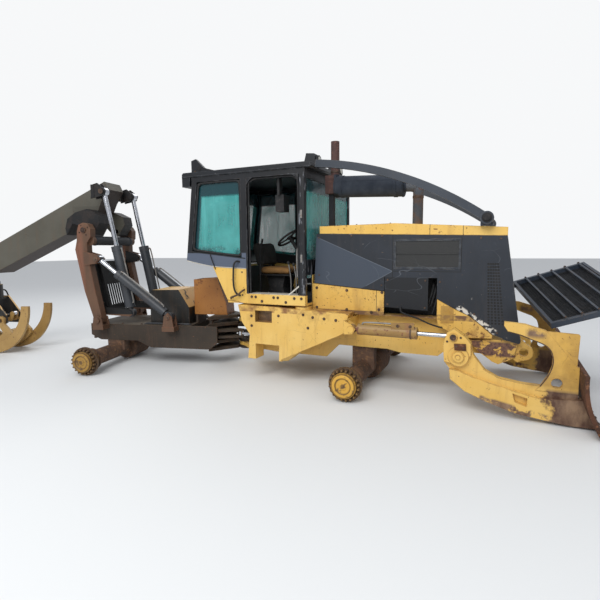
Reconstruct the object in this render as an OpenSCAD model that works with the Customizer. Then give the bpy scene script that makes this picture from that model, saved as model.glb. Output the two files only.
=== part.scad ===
// Wheel skidder with a dual-function grapple, parked on its hubs.
// +X is forward to the blade, -Y is the side with the missing cab door.

/* [Stance] */
// Turn of the rear frame about the hitch as parked, degrees
yaw_rest = 13.2; // [-40:0.1:40]
// Hitch centre to each axle
half_base = 1850; // [1700:10:2000]
// Machine centre plane to a hub cap's face
hub_face = 1166; // [1050:2:1250]
// Radius of the wheel flange that the machine stands on
flange_r = 184; // [160:1:220]
// Hitch centre's place along X in the row's frame
hitch_x = 273.5; // [0:0.5:400]
// Hitch centre's place along Y in the row's frame
hitch_y = 193.4; // [-200:0.1:300]

/* [Frames] */
// Height of the front frame's top under the cab
frame_top = 860; // [800:5:900]
// Half width of the front frame
frame_half = 470; // [420:5:520]
// Height of the rear frame's top
rear_top = 560; // [520:5:600]
// Half width of the rear frame
rear_half = 430; // [400:5:480]
// Plate thickness of both frames
plate_t = 30; // [20:1:40]

/* [Cab] */
// Half width over the cab posts
cab_half = 800; // [740:5:850]
// Height of the roof's underside
roof_z = 2500; // [2400:5:2600]
// Thickness of the roof
roof_t = 64; // [40:2:90]
// Front face of the cab posts
cab_front = 1270; // [1200:5:1320]
// Thickness of a post in the side wall
post_t = 70; // [50:2:100]
// Thickness of a pane
glass_t = 8; // [5:1:12]
// Rear edge of the far door's frame
door_rear = 520; // [515:1:530]
// Front edge of the far door's frame
door_front = 1175; // [1160:1:1180]
// Lower edge of the far door
door_low = 1080; // [1075:1:1100]
// Upper edge of the far door
door_high = 2430; // [2400:1:2435]

/* [Hood] */
// Half width of the engine hood
hood_half = 600; // [540:5:640]
// Height of the hood's top
hood_top_z = 1860; // [1800:5:1900]
// Front face of the hood
hood_front = 3340; // [3250:5:3420]
// Thickness of the hood's sheets
sheet_t = 8; // [5:1:12]
// Width of the fallen grille door
grille_w = 1180; // [1140:5:1180]
// Length of the grille door from its hinge to its free edge
grille_h = 830; // [780:5:860]
// Height of the air screen in the hood's side
screen_h = 280; // [200:5:300]
// Spacing of the bars across the grille door
bar_pitch = 147; // [120:1:150]
// Centre plane of each limb riser
riser_y = 680; // [640:5:700]
// Radius that the limb risers are rolled to
riser_r = 3630; // [3400:10:3900]
// Centre plane of the exhaust
muffler_y = -330; // [-380:5:-280]

/* [Blade] */
// Half width of the moldboard
blade_half = 1200; // [1100:10:1300]
// Centre plane of each blade arm
arm_y = 900; // [860:5:940]
// Thickness of an arm's box
arm_t = 110; // [90:2:130]
// Outer radius of the moldboard's curve
blade_r = 900; // [880:5:920]
// Thickness of the moldboard
blade_t = 32; // [24:1:40]

/* [Arch and boom] */
// Centre plane of each arch column
column_y = 500; // [460:5:540]
// Width of an arch column
column_t = 110; // [90:2:130]
// Half width of the boom's box beam
boom_half = 190; // [160:5:240]
// Centre plane of each boom cylinder
boom_cyl_y = 350; // [320:5:360]

/* [Grapple] */
// Grapple centre behind the hitch, in the rear frame
grapple_x = -4300; // [-4500:10:-4100]
// Half the distance between the tong pivots
tong_half = 280; // [240:5:320]
// Outer radius of a tong's sweep
tong_r = 750; // [680:5:800]
// Thickness of one prong
prong_t = 40; // [30:1:50]
// Half the inner width of the grapple's head
head_half = 130; // [120:1:135]

/* [Hidden] */
$fn = 64;
// Running clearance of a pin in its bore, on the radius
fit = 0.05;
// Gap between pieces that are seated on one another
seat_gap = 0.3;
// Side gap between an eye and its ears
side_gap = 5;
// Barrel wall, gland and piston lengths
wall_t = 12;
gland_t = 50;
piston_t = 40;
ear_t = 20;
arm_plate_t = 14;
hitch_pin_r = 45;
nose_top = 672;
// Undersides of the two hitch tongues
hitch_z = [250, 590];
// Tow lugs on the nose: [x, z], middle bore, side bore
lug_at = [3530, 560];
lug_mid_r = 38;
lug_side_r = 40;
hub_z = flange_r;
cap_r = 128;
spindle_r = 62;
axle_r = 105;
stud_count = 20;
stud_r = 11;
stud_ring_r = 158;
flange_t = 28;
hub_back = hub_face - 100;
lateral = [0, 1, 0];
// Steering wheel's centre, [x, z]
wheel_at = [700, 1745];
// Air screen in the hood's side, and the near front edge's furthest point, [x, z]
screen_low = [2250, 1400];
screen_high = [2900, screen_low[1] + screen_h];
hood_lean = [3497, 680];

// Pivots in side view, [x, z]
arm_pivot = [2950, 560];
lift_foot = [1860, 750];
lift_eye = [2900, 745];
arch_pivot = [-2015, 630];
arch_foot = [-950, 700];
arch_eye = [-1990, 1490];
boom_pivot = [-2160, 1890];
boom_foot = [-1620, 720];
boom_eye = [-1950, 2425];
link_pin = [grapple_x, 1420];
// Steering pins in plan, [x, y] of the near side
steer_foot = [680, 240];
steer_eye = [-40, 195];
steer_z = 440;
// Axis that the blade's curve is swept about, [x, z]
blade_axis = [4860, 500];
tong_z = 520;
// Far door's hinge in plan, [x, y], and the undersides of its knuckles
door_hinge = [508, 824];
door_knuckles = [1250, 2250];
// Rear edge of the fallen grille door: far corner, then the turns to the near one
grille_corner = [3400, 590, 1150];
grille_yaw = 17;
grille_lean = 16;
grille_rise = 18;

// Cylinders: [barrel length, barrel r, rod r, rod inside, pin r, eye width]
LIFT = [690, 58, 22, 420, 26, 60];
ARCH = [960, 62, 32, 300, 30, 80];
BOOM = [960, 70, 32, 700, 30, 80];
STEER = [470, 42, 20, 0, 20, 50];
steer_rod_length = 511;
TONG = [400, 42, 22, 0, 18, 50];
tong_rod_length = 386;

// Places a piece of the front frame in the row's frame
module front() {
  translate([hitch_x, hitch_y, 0]) children();
}

// Places a piece of the rear frame, turned about the hitch
module rear() {
  translate([hitch_x, hitch_y, 0]) rotate([0, 0, yaw_rest]) children();
}

module both_sides() {
  children();
  mirror(lateral) children();
}

// Box from its low to its high corner
module block(low, high) {
  translate(low) cube(high - low);
}

// Side view outline [x, z] drawn through from y0 to y1
module side_plate(points, y0, y1) {
  translate([0, y1, 0]) rotate([90, 0, 0]) linear_extrude(y1 - y0) polygon(points);
}

// Round bar across the machine at [x, z]
module cross_bar(at, y0, y1, r) {
  translate([at[0], y0, at[1]]) rotate([-90, 0, 0]) cylinder(h = y1 - y0, r = r);
}

// Stands a child on [x, z] with its X axis aimed at another [x, z]
module aim(from, to, y) {
  slope = atan2(to[1] - from[1], to[0] - from[0]);
  translate([from[0], y, from[1]]) rotate([0, -slope, 0]) children();
}

// Cylinder barrel along +X, with the bored eye of its foot at the origin
module barrel(c) {
  length = c[0];
  start = c[4] * 2.7;
  difference() {
    union() {
      cross_bar([0, 0], -c[5] / 2, c[5] / 2, c[4] * 1.9);
      rotate([0, 90, 0]) cylinder(h = start + 10, r = c[5] * 0.45);
      translate([start, 0, 0]) rotate([0, 90, 0]) cylinder(h = length - start, r = c[1]);
      translate([length - 70, 0, 0]) rotate([0, 90, 0]) cylinder(h = 70, r = c[1] + 4);
    }
    cross_bar([0, 0], -c[5], c[5], c[4] + fit);
    translate([start + 12, 0, 0]) rotate([0, 90, 0])
      cylinder(h = length - gland_t - start - 12, r = c[1] - wall_t);
    translate([length - gland_t - 1, 0, 0]) rotate([0, 90, 0])
      cylinder(h = gland_t + 2, r = c[2] + fit);
  }
}

// Rod along +X from its piston to its eye; the eye ends the opened linkage
module rod(c, reach, inside) {
  translate([inside, 0, 0]) rotate([0, 90, 0]) cylinder(h = reach - inside, r = c[2]);
  translate([inside, 0, 0]) rotate([0, 90, 0]) cylinder(h = piston_t, r = c[1] - wall_t - fit);
  cross_bar([reach, 0], -c[5] / 2, c[5] / 2, c[4] * 1.9);
}

// Two ears either side of an eye, with the pin through them
module ears(at, y, c, points, with_pin) {
  inner = c[5] / 2 + side_gap;
  for (side = [-1, 1]) {
    low = side > 0 ? y + inner : y - inner - ear_t;
    side_plate(points, low, low + ear_t);
    cross_bar(at, low - (side < 0 ? 8 : 0), low + ear_t + (side > 0 ? 8 : 0), c[4] * 1.4);
  }
  if (with_pin) cross_bar(at, y - inner - 10, y + inner + 10, c[4]);
}

// Planetary hub along +Z, from the back of its wheel flange
module hub() {
  difference() {
    union() {
      translate([0, 0, -90]) cylinder(h = 92, r = 122);
      cylinder(h = flange_t, r = flange_r);
      cylinder(h = 92, r = 138);
      cylinder(h = 100, r = cap_r);
      for (i = [0 : stud_count - 1])
        rotate([0, 0, i * 360 / stud_count]) translate([stud_ring_r, 0, 0]) cylinder(h = 76, r = stud_r);
    }
    translate([0, 0, -91]) cylinder(h = 141, r = spindle_r + fit);
    translate([0, 0, 90]) cylinder(h = 20, r = 104);
  }
  translate([0, 0, 84]) cylinder(h = 18, r = 30);
}

// The near hubs stand half a stud's pitch round from the far ones
module hub_at(x, side) {
  translate([x, side * hub_back, hub_z]) rotate([-90 * side, 0, 0])
    rotate([0, 0, side < 0 ? 180 / stud_count : 0]) hub();
}

module hub_front_near() {
  color("goldenrod") front() hub_at(half_base, -1);
}

module hub_front_far() {
  color("goldenrod") front() hub_at(half_base, 1);
}

module hub_rear_near() {
  color("goldenrod") rear() hub_at(-half_base, -1);
}

module hub_rear_far() {
  color("goldenrod") rear() hub_at(-half_base, 1);
}

// Axle housing with a spindle at each end, lugs up to the frame
module axle(x, top, lug_y) {
  cross_bar([x, hub_z], -hub_back + 96, hub_back - 96, axle_r);
  cross_bar([x, hub_z], -hub_back - 44, hub_back + 44, spindle_r);
  cross_bar([x, hub_z], -200, 200, 172);
  both_sides() {
    cross_bar([x, hub_z], hub_back - 126, hub_back - 96, 140);
    block([x - 130, lug_y - 60, hub_z], [x + 130, lug_y + 60, top]);
  }
}

module front_axle() {
  color("saddlebrown") front() axle(half_base, 460, 380);
}

module rear_axle() {
  color("saddlebrown") rear() axle(-half_base, 330, 360);
}

// Side outline of the front frame's main plates
FRAME_SIDE = [
  [330, 330], [700, 300], [1400, 300], [1560, 460.4], [2140, 460.4], [2300, 430],
  [2700, 430], [2780, 500], [3140, 500], [3240, 620], [3240, 700], [3100, frame_top],
  [1800, frame_top], [1300, frame_top - 20], [330, frame_top - 40]
];
// Outline of a side fairing, with its step pocket below
FAIRING_SIDE = [
  [490, 270], [600, 270], [600, 460], [920, 460], [920, 270], [1010, 270], [1180, 400],
  [1720, 660], [1790, 890], [1180, 905], [840, 925], [360, 930], [410, 720], [520, 570]
];

module front_frame() {
  color("gold") front() {
    both_sides() side_plate(FRAME_SIDE, frame_half - plate_t, frame_half);
    for (x = [410, 1000, 1450, 2350, 3000])
      block([x, -frame_half + plate_t - 1, 520], [x + plate_t, frame_half - plate_t + 1, 800]);
    block([2000, -frame_half + 20, 780], [3080, frame_half - 20, 800]);
  }
}

// Side boxes below the cab, with a square recess and a chamfered lower front
module fairings() {
  color("gold") front() both_sides() {
    difference() {
      union() {
        side_plate(FAIRING_SIDE, hood_half + 5, cab_half);
        side_plate([[490, 300], [600, 460], [1180, 500], [1700, 680], [1700, 840], [500, 840]],
          frame_half + seat_gap, hood_half + 6);
      }
      block([600, cab_half - 90, 730], [830, cab_half + 10, 870]);
      // the lower front face folds inward
      translate([1180, cab_half, 400]) rotate([0, -25, 0]) rotate([35, 0, 0])
        translate([-260, -600, -400]) cube([1100, 700, 400]);
    }
    // cab foot mounts
    for (x = [470, 1200]) {
      translate([x, 690, 850]) cylinder(h = 84, r = 100);
      translate([x, 690, 930]) cylinder(h = 20 - seat_gap, r = 62);
    }
  }
}

// Ears for the lift cylinders' feet, and the stub shafts that carry the blade's arms
module blade_pivots() {
  seat = frame_half + seat_gap;
  color("gold") front() both_sides() {
    ears(lift_foot, arm_y, LIFT, [[1790, 690], [1790, 840], [1870, 800], [1912, 750], [1880, 700]], true);
    block([1780, seat, 700], [1802, arm_y + 55, 840]);
    cross_bar(arm_pivot, seat, arm_y + arm_t / 2 + 25, 55);
    cross_bar(arm_pivot, seat, frame_half + 60, 84);
  }
}

// Two hitch tongues between the frame's plates, bored for the hitch pins
module front_hitch() {
  inner = frame_half - plate_t - seat_gap;
  color("gold") front() {
    for (z = hitch_z)
      difference() {
        union() {
          translate([0, 0, z]) cylinder(h = 50, r = 120);
          translate([0, 0, z]) linear_extrude(50)
            polygon([[0, -118], [400, -inner], [400, inner], [0, 118]]);
        }
        translate([0, 0, z - 1]) cylinder(h = 52, r = hitch_pin_r + fit);
      }
    // webs between the tongues, clear of the steering cylinders
    block([340, -120, hitch_z[0] + 49], [340 + plate_t, 120, hitch_z[1] + 1]);
    both_sides() {
      block([340, 330, hitch_z[0] + 49], [340 + plate_t, inner, hitch_z[1] + 1]);
      // steering foot: pin between a plate above and one below
      translate([steer_foot[0], steer_foot[1], steer_z - 60]) cylinder(h = 120, r = 20);
      for (z = [steer_z - 60, steer_z + 40])
        block([steer_foot[0] - 46, steer_foot[1] - 46, z], [steer_foot[0] + 50, inner, z + 20]);
    }
  }
}

// Front bumper box that wraps the frame's end, with three tow lugs
module nose() {
  color("gold") front() {
    side_plate([[3240.3, 445], [3303, 423], [3415, 478], [3446, 512], [3469, 625], [3460, 655],
      [3430, nose_top], [3240.3, nose_top]], -560, 560);
    both_sides() side_plate([[3012, 648], [3060, 590], [3129, 526], [3245, 445], [3245, nose_top]],
      frame_half + seat_gap, 560);
    tow_lug(0, 120, 90, lug_mid_r);
    both_sides() tow_lug(510, 60, 84, lug_side_r);
  }
}

// Lug centred on plane y, its bore along Y
module tow_lug(y, width, r, bore) {
  low = y - width / 2;
  difference() {
    union() {
      cross_bar(lug_at, low, low + width, r);
      side_plate([[3420, 600], [3410, 500], [3478, 453], [3591, 533], [3581, 613], [3465, 727],
        [3425, 690]], low, low + width);
    }
    cross_bar(lug_at, low - 1, low + width + 1, bore);
  }
}

module engine() {
  color("dimgray") front() block([1500, -330, 800.3], [2700, 330, 1700]);
}

module radiator() {
  color("slategray") front() {
    block([2960, -420, 860.3], [3061, 420, 1740]);
    difference() {
      block([3060, -540, 860.3], [3150, 540, 1760]);
      block([3090, -480, 900], [3160, 480, 1720]);
    }
  }
}

module hood_top() {
  color("gold") front() {
    difference() {
      side_plate([[1370, 1778], [hood_front, 1718], [hood_front, 1800], [2240, hood_top_z + 10],
        [1370, hood_top_z]], -hood_half, hood_half);
      side_plate([[1360, 1760], [hood_front - 20, 1700], [hood_front - 20, 1780], [2240, hood_top_z - 10],
        [1360, hood_top_z - 20]], -hood_half + 20, hood_half - 20);
    }
  }
}

sheet_in = hood_half - sheet_t - 1;
HOOD_SIDE = [
  [1300, 1206], [2130, 1138], [2130, 1290], [2690, 1290], [2690, 1074], [2852, 986], [3033, 902],
  [3246, 728], [hood_front + 20, 690], [hood_front, 1717], [1330, 1777]
];

module hood_sides() {
  color("darkslategray") front() grille_place() grille_hinge();
  color("darkslategray") front() {
    both_sides() {
      difference() {
        side_plate(HOOD_SIDE, sheet_in, sheet_in + sheet_t);
        block([screen_low[0], hood_half - 5, screen_low[1]],
          [screen_high[0], hood_half + 1, screen_high[1]]);
      }
      // frame and slats of the air screen
      difference() {
        block([screen_low[0] - 18, hood_half - 6, screen_low[1] - 18],
          [screen_high[0] + 18, hood_half + 4, screen_high[1] + 18]);
        block([screen_low[0] + 4, 0, screen_low[1] + 4], [screen_high[0] - 4, 700, screen_high[1] - 4]);
      }
      // panel that hangs loose below
      side_plate([[2136, 960], [2600, 940], [2600, 1291], [2136, 1291]], sheet_in, sheet_in + sheet_t);
    }
    block([hood_front - 40, hood_half - 80, nose_top + seat_gap], [hood_front, hood_half - 9, 1710]);
    // the near front edge leans forward to its foot, clear of the grille door's hinge on the far side
    side_plate([[hood_front - 10, 690], [3477, 652], [3490, 660], hood_lean, [hood_front, 1715]],
      -sheet_in - sheet_t, -sheet_in);
    side_plate([[3418, nose_top + 8], [3488, nose_top - 10], [hood_front, 1705], [hood_front - 70, 1705]],
      sheet_t - hood_half, 25 - hood_half);
  }
}

module lower_panels() {
  color("gold") front() both_sides() {
    side_plate([[1276, 860.4], [2130, 860.4], [2130, 1130], [1276, 1200]],
      hood_half - sheet_t - 1, hood_half - 1);
    side_plate([[2695, 860.4], [2710, 780], [2972, 680], [3236, 690], [3239, 722], [3031, 896], [2852, 980],
      [2695, 1066]], hood_half - sheet_t - 1, hood_half - 1);
    // raised plate on it
    side_plate([[2739, 818], [2863, 826], [2858, 960], [2734, 1003]], hood_half - 2, hood_half + 3);
    block([1276, 440, 860.4], [2900, hood_half - 5, 872]);
  }
}

module grille_door() {
  color("darkslategray") front() grille_place() grille_panel();
}

module grille_place() {
  translate(grille_corner) rotate([0, 0, grille_yaw]) rotate([grille_lean, 0, 0])
    rotate([0, -grille_rise, 0]) children();
}

// Panel from its hinge edge: X to the free edge, -Y across
module grille_panel() {
  difference() {
    block([30, -grille_w, -30], [grille_h, 0, 30]);
    block([60, -grille_w + 30, -20], [grille_h - 30, -30, 40]);
  }
  for (i = [1 : 5])
    block([30 + i * bar_pitch - 10, -grille_w, 25], [30 + i * bar_pitch + 10, 0, 45]);
  difference() {
    union() {
      rotate([90, 0, 0]) cylinder(h = 80, r = 20);
      block([0, -80, -20], [40, 0, 20]);
    }
    translate([0, 1, 0]) rotate([90, 0, 0]) cylinder(h = 82, r = 10 + fit);
  }
}

// Pin and lugs that hold the door's knuckle to the hood's far front corner
module grille_hinge() {
  translate([0, 25, 0]) rotate([90, 0, 0]) cylinder(h = 130, r = 10);
  for (y = [5, -105]) block([-75, y, -18], [14, y + 20, 18]);
  block([-75, -105, -22], [-50, 25, 22]);
}

// Curved guard tubes from the roof's front to the hood's front
module limb_risers() {
  color("dimgray") front() both_sides() {
    from = [1362, 2552];
    to = [3140, 1893];
    chord = norm(to - from);
    slope = atan2(to[1] - from[1], to[0] - from[0]);
    half = asin(chord / 2 / riser_r);
    centre = (from + to) / 2 + riser_r * cos(half) * [sin(slope), -cos(slope)];
    translate([centre[0], riser_y, centre[1]]) rotate([90, 0, 0]) rotate([0, 0, 90 + slope - half])
      rotate_extrude(angle = 2 * half, $fn = 96) translate([riser_r - 40, -30]) square([80, 60]);
    cross_bar([3150, 1890], riser_y - 80, riser_y + 45, 62);
    block([3090, 560, 1816.2], [3210, riser_y - 20, 1850]);
  }
}

module exhaust() {
  color("dimgray") front() {
    translate([1480, muffler_y, 2330]) rotate([0, 92.5, 0]) cylinder(h = 800, r = 122);
    translate([2270, muffler_y, 2296]) rotate([0, 92.5, 0]) cylinder(h = 150, r = 70);
    translate([2430, muffler_y, hood_top_z + 1.8]) cylinder(h = 410, r = 56);
    block([1362, muffler_y - 75, 2250], [1500, muffler_y + 75, 2460]);
    translate([1460, muffler_y, 2400]) cylinder(h = 450, r = 50);
    // clamp bands round the muffler
    for (along = [60, 690])
      translate([1480, muffler_y, 2330]) rotate([0, 92.5, 0]) translate([0, 0, along])
        cylinder(h = 36, r = 128);
    block([1390, muffler_y - 30, hood_top_z + 1.2], [1450, muffler_y + 30, 2300]);
  }
}

module cab_base() {
  color("gold") front() {
    both_sides() {
      side_plate([[0, 1400], [210, 985], [490, 950], [490, 1372]], cab_half - 40, cab_half);
      block([440, cab_half - 60, 950], [cab_front, cab_half, 1070]);
    }
    block([210, -cab_half + 10, 950], [cab_front, cab_half - 10, 975]);
    side_plate([[0, 1400], [210, 985], [240, 985], [30, 1400]], -cab_half + 40, cab_half - 40);
    block([1250, -580, 975], [cab_front, 580, 1300]);
  }
}

// Upright box post with rounded corners
module rounded_post(low, high, r) {
  block([low[0] + r, low[1], low[2]], [high[0] - r, high[1], high[2]]);
  block([low[0], low[1] + r, low[2]], [high[0], high[1] - r, high[2]]);
  for (x = [low[0] + r, high[0] - r])
    for (y = [low[1] + r, high[1] - r])
      translate([x, y, low[2]]) cylinder(h = high[2] - low[2], r = r);
}

// Dark posts and rails of the cab's protective frame
module cab_frame() {
  color("darkslategray") front() {
    both_sides() {
      // slanted rear post, door post pair, front post
      side_plate([[-400, 1470], [-325, 1470], [-195, roof_z], [-270, roof_z]], cab_half - post_t, cab_half);
      block([430, cab_half - post_t, 1378], [514, cab_half, roof_z]);
      block([492, cab_half - post_t, 1070.3], [514, cab_half, 1379]);
      rounded_post([1185, cab_half - post_t, 1070.3], [cab_front, cab_half, roof_z], 24);
      // sill trim below the rear window, header over all
      side_plate([[-400, 1470], [-30, 1402], [20, 1402], [490, 1375], [490, 1500], [-340, 1590]],
        cab_half - post_t, cab_half);
      block([-280, cab_half - post_t, 2440], [cab_front, cab_half, roof_z]);
    }
    // hinge pins, with a lug below and above each door knuckle
    for (z = door_knuckles) {
      translate([door_hinge[0], door_hinge[1], z - 20]) cylinder(h = 110, r = 7);
      for (low = [z - 22, z + 72]) {
        translate([door_hinge[0], door_hinge[1], low]) cylinder(h = 20, r = 14);
        block([493, cab_half - 1, low], [door_hinge[0] + 4, door_hinge[1] + 6, low + 20]);
      }
    }
    block([-280, -cab_half + 10, 2440], [-200, cab_half - 10, roof_z]);
    block([1210, -cab_half + 10, 2400], [cab_front - 10, cab_half - 10, roof_z]);
    side_plate([[-400, 1470], [-30, 1402], [-30, 1430], [-340, 1590]], -cab_half + 10, cab_half - 10);
    block([1250, -cab_half + 10, 1300.3], [1268, cab_half - 10, 1480]);
  }
}

module roof() {
  color("darkslategray") front() {
    side_plate([[-420, roof_z + 0.3], [1330, roof_z + 0.3], [1350, roof_z + 20], [1330, roof_z + roof_t],
      [-400, roof_z + roof_t], [-420, roof_z + roof_t - 20]], -cab_half - 10, cab_half + 10);
    block([-420, -cab_half - 10, 2390], [-300, cab_half + 10, roof_z + 10]);
  }
}

module roof_fittings() {
  color("black") front() {
    // work lamp in its housing on each side of the roof's front
    both_sides() {
      side_plate([[1110, 2564.5], [1270, 2564.5], [1252, 2712], [1150, 2722]], 280, 480);
      translate([1240, 380, 2640]) rotate([0, 84, 0]) cylinder(h = 40, r = 58);
    }
    side_plate([[-400, 2564.5], [80, 2564.5], [-200, 2640], [-330, 2760], [-400, 2740]], -640, -600);
    side_plate([[-400, 2564.5], [80, 2564.5], [-200, 2640], [-330, 2760], [-400, 2740]], 600, 640);
    block([-400, -640, 2564.5], [-380, 640, 2600]);
  }
}

module cab_glass() {
  color("teal", 0.4) front() {
    both_sides()
      side_plate([[-309.8, 1586.9], [429.7, 1507.1], [429.7, 2439.7], [-202.2, 2439.7]], cab_half - 40,
        cab_half - 40 + glass_t);
    block([1240, -cab_half + 70.3, 1480.3], [1240 + glass_t, cab_half - 70.3, 2399.7]);
    side_plate([[-335, 1588], [-335 + glass_t, 1584], [-218 + glass_t, 2439.7], [-218, 2439.7]],
      -cab_half + 70.3, cab_half - 70.3);
  }
}

module cab_door() {
  color("black") front() {
    difference() {
      block([door_rear, cab_half - 45, door_low], [door_front, cab_half - 5, door_high]);
      block([door_rear + 60, 0, door_low + 80], [door_front - 60, cab_half + 10, door_high - 60]);
    }
    for (z = door_knuckles) difference() {
      union() {
        translate([door_hinge[0], door_hinge[1], z]) cylinder(h = 70, r = 14);
        block([door_hinge[0] + 10.5, cab_half - 6, z], [door_rear + 60, door_hinge[1] + 10, z + 70]);
      }
      translate([door_hinge[0], door_hinge[1], z - 1]) cylinder(h = 72, r = 7 + fit);
    }
  }
}

module door_glass() {
  color("teal", 0.4) front()
    block([door_rear + 60.3, cab_half - 28, door_low + 80.3],
      [door_front - 60.3, cab_half - 28 + glass_t, door_high - 60.3]);
}

module seat() {
  color("sienna") front() {
    block([330, -240, 1270], [800, 240, 1372]);
    side_plate([[270, 1372.3], [400, 1372.3], [384, 1560], [345, 1680], [290, 1712], [222, 1690],
      [216, 1640]], -230, 230);
    block([400, -180, 975.3], [720, 180, 1269.7]);
  }
}

module console() {
  color("black") front() {
    side_plate([[1090, 975.3], [1200, 975.3], [1200, 1230], [905, 1560], [830, 1530], [1090, 1180]],
      -60, 60);
    translate([wheel_at[0], 0, wheel_at[1]]) rotate([0, -35, 0]) {
      rotate_extrude() translate([178, 12]) circle(r = 14, $fn = 24);
      for (i = [0 : 2])
        rotate([0, 0, 90 + 120 * i]) block([0, -14, 4], [175, 14, 18]);
      translate([0, 0, -272]) cylinder(h = 277, r = 24);
      cylinder(h = 26, r = 42);
    }
    // screen box that hangs from the doorway's header
    block([850, -700, 2040], [960, -560, 2235]);
    block([890, -729.7, 2230], [920, -660, 2450]);
  }
}

// Where the moldboard's back is at height z, less a millimetre
function blade_back(z) = blade_axis[0] - sqrt(pow(blade_r + 1, 2) - pow(z - blade_axis[1], 2));

// Side outlines of a blade arm: its box beam, the web on it and the head with both pivots
BEAM_SIDE = [
  [2880, 330], [3014, 226], [3199, 150], [3474, 66], [3880, 20],
  each [for (z = [20 : 60 : 260]) [blade_back(z), z]],
  [3634, 236], [3466, 274], [3112, 362], [2946, 421], [2870, 430]
];
WEB_SIDE = [
  [2820, 487], [2875, 420], [3112, 355], [3466, 267], [3634, 230], [3958, 256], [3958, 330], [3500, 350],
  [3309, 378], [3189, 441], [3084, 580], [3060, 692], [2977, 770], [2840, 770], [2804, 666]
];
HEAD_SIDE = [
  [2820, 500], [2960, 470], [3066, 580], [3060, 692], [2990, 770], [2905, 828], [2842, 790], [2806, 666]
];
// Upright gusset, C-shaped on its inner side; its upper corner is folded outward
GUSSET_SIDE = [
  [3340, 921], [3340, 882], [3376, 828], [3481, 803], [3574, 767], [3666, 733], [3722, 686], [3747, 616],
  [3747, 543], [3716, 445], [3658, 343], [3620, 300], [3958, 300], [3958, 545], [3936, 554],
  [3687, 859], [3513, 909]
];
gusset_fold = [3687, 859, -50.8];

module blade_arms() {
  color("gold") front() both_sides() difference() {
    union() {
      difference() {
        union() {
          side_plate(BEAM_SIDE, arm_y - arm_t / 2, arm_y + arm_t / 2);
          side_plate(WEB_SIDE, arm_y - arm_t / 2, arm_y + arm_t / 2 - 40);
          side_plate(HEAD_SIDE, arm_y - arm_t / 2, arm_y + arm_t / 2);
        }
        // slot for the lift rod's eye
        block([2700, arm_y - LIFT[5] / 2 - side_gap, 640], [2995, arm_y + LIFT[5] / 2 + side_gap, 900]);
      }
      side_plate(GUSSET_SIDE, arm_y - 20, arm_y + 20);
      // its folded corner
      translate([gusset_fold[0], arm_y - 20, gusset_fold[1]]) rotate([0, -gusset_fold[2], 0])
        rotate([7, 0, 0]) side_plate([[0, -12], [392, -12], [392, 0], [194, 178], [176, 181]], 0, 38);
      cross_bar(arm_pivot, arm_y - arm_t / 2 - 8, arm_y + arm_t / 2 + 8, 95);
      cross_bar(lift_eye, arm_y + LIFT[5] / 2 + side_gap, arm_y + arm_t / 2 + 12, 40);
      cross_bar(lift_eye, arm_y - arm_t / 2 - 12, arm_y - LIFT[5] / 2 - side_gap, 40);
    }
    cross_bar(arm_pivot, 0, 1100, 55 + fit);
    cross_bar([3790, 384], 0, 1100, 45);
    // broken opening in the beam's outer side
    side_plate([[3436, 256], [3561, 223], [3555, 147], [3460, 176]], arm_y + arm_t / 2 - 45, 1100);
  }
}

// Curved blade, swept about a lateral axis in front of it
module moldboard() {
  color("sienna") front() {
    difference() {
      cross_bar(blade_axis, -blade_half, blade_half, blade_r);
      cross_bar(blade_axis, -blade_half - 1, blade_half + 1, blade_r - blade_t);
      block([blade_axis[0] - 745, -2000, -600], [6000, 2000, 2000]);
      block([3000, -2000, 545], [6000, 2000, 2000]);
      block([3000, -2000, -600], [6000, 2000, 30]);
    }
    side_plate([[4062, 120], [4086, 120], [4160, 2], [4124, 2]], -blade_half, blade_half);
  }
}

module lift_barrels() {
  color("gold") front() both_sides() aim(lift_foot, lift_eye, arm_y) barrel(LIFT);
}

module lift_rods() {
  color("silver") front() both_sides()
    aim(lift_foot, lift_eye, arm_y) rod(LIFT, norm(lift_eye - lift_foot), LIFT[3]);
}

REAR_SIDE = [
  [-2230, 400], [-2080, 330.4], [-1500, 330.4], [-1300, 240], [-420, 240], [-300, 330],
  [-300, rear_top], [-2230, rear_top]
];

module rear_frame() {
  color("saddlebrown") rear() {
    both_sides() side_plate(REAR_SIDE, rear_half - plate_t, rear_half);
    for (x = [-2200, -1400, -480])
      block([x, -rear_half + 10, 345], [x + plate_t, rear_half - 10, rear_top]);
    block([-2230, -rear_half + 5, rear_top - 20], [-700, rear_half - 5, rear_top]);
    // stand below the valve box
    block([-730, -140, rear_top - 1], [-700, 140, 685]);
  }
}

// Ears and pins at the arch's feet, and the feet of its cylinders
module arch_mounts() {
  seat = rear_half + seat_gap;
  top = rear_top + seat_gap;
  outer = column_y + column_t / 2 + side_gap;
  x = arch_pivot[0];
  color("saddlebrown") rear() both_sides() {
    for (y = [column_y - column_t / 2 - side_gap - ear_t, outer])
      side_plate([[x - 80, top], [x + 80, top], [x + 60, 675], [x, 700], [x - 60, 675]], y, y + ear_t);
    block([x - 80, seat, 500], [x + 80, outer + ear_t, top + 0.7]);
    cross_bar(arch_pivot, column_y - column_t / 2 - 45, column_y + column_t / 2 + 45, 40);
    ears(arch_foot, column_y, ARCH, [[-1030, 560], [-870, 560], [-890, 700], [-950, 755], [-1005, 710]],
      true);
    block([-1040, seat, 500], [-860, column_y + 70, 562]);
  }
}

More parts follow.
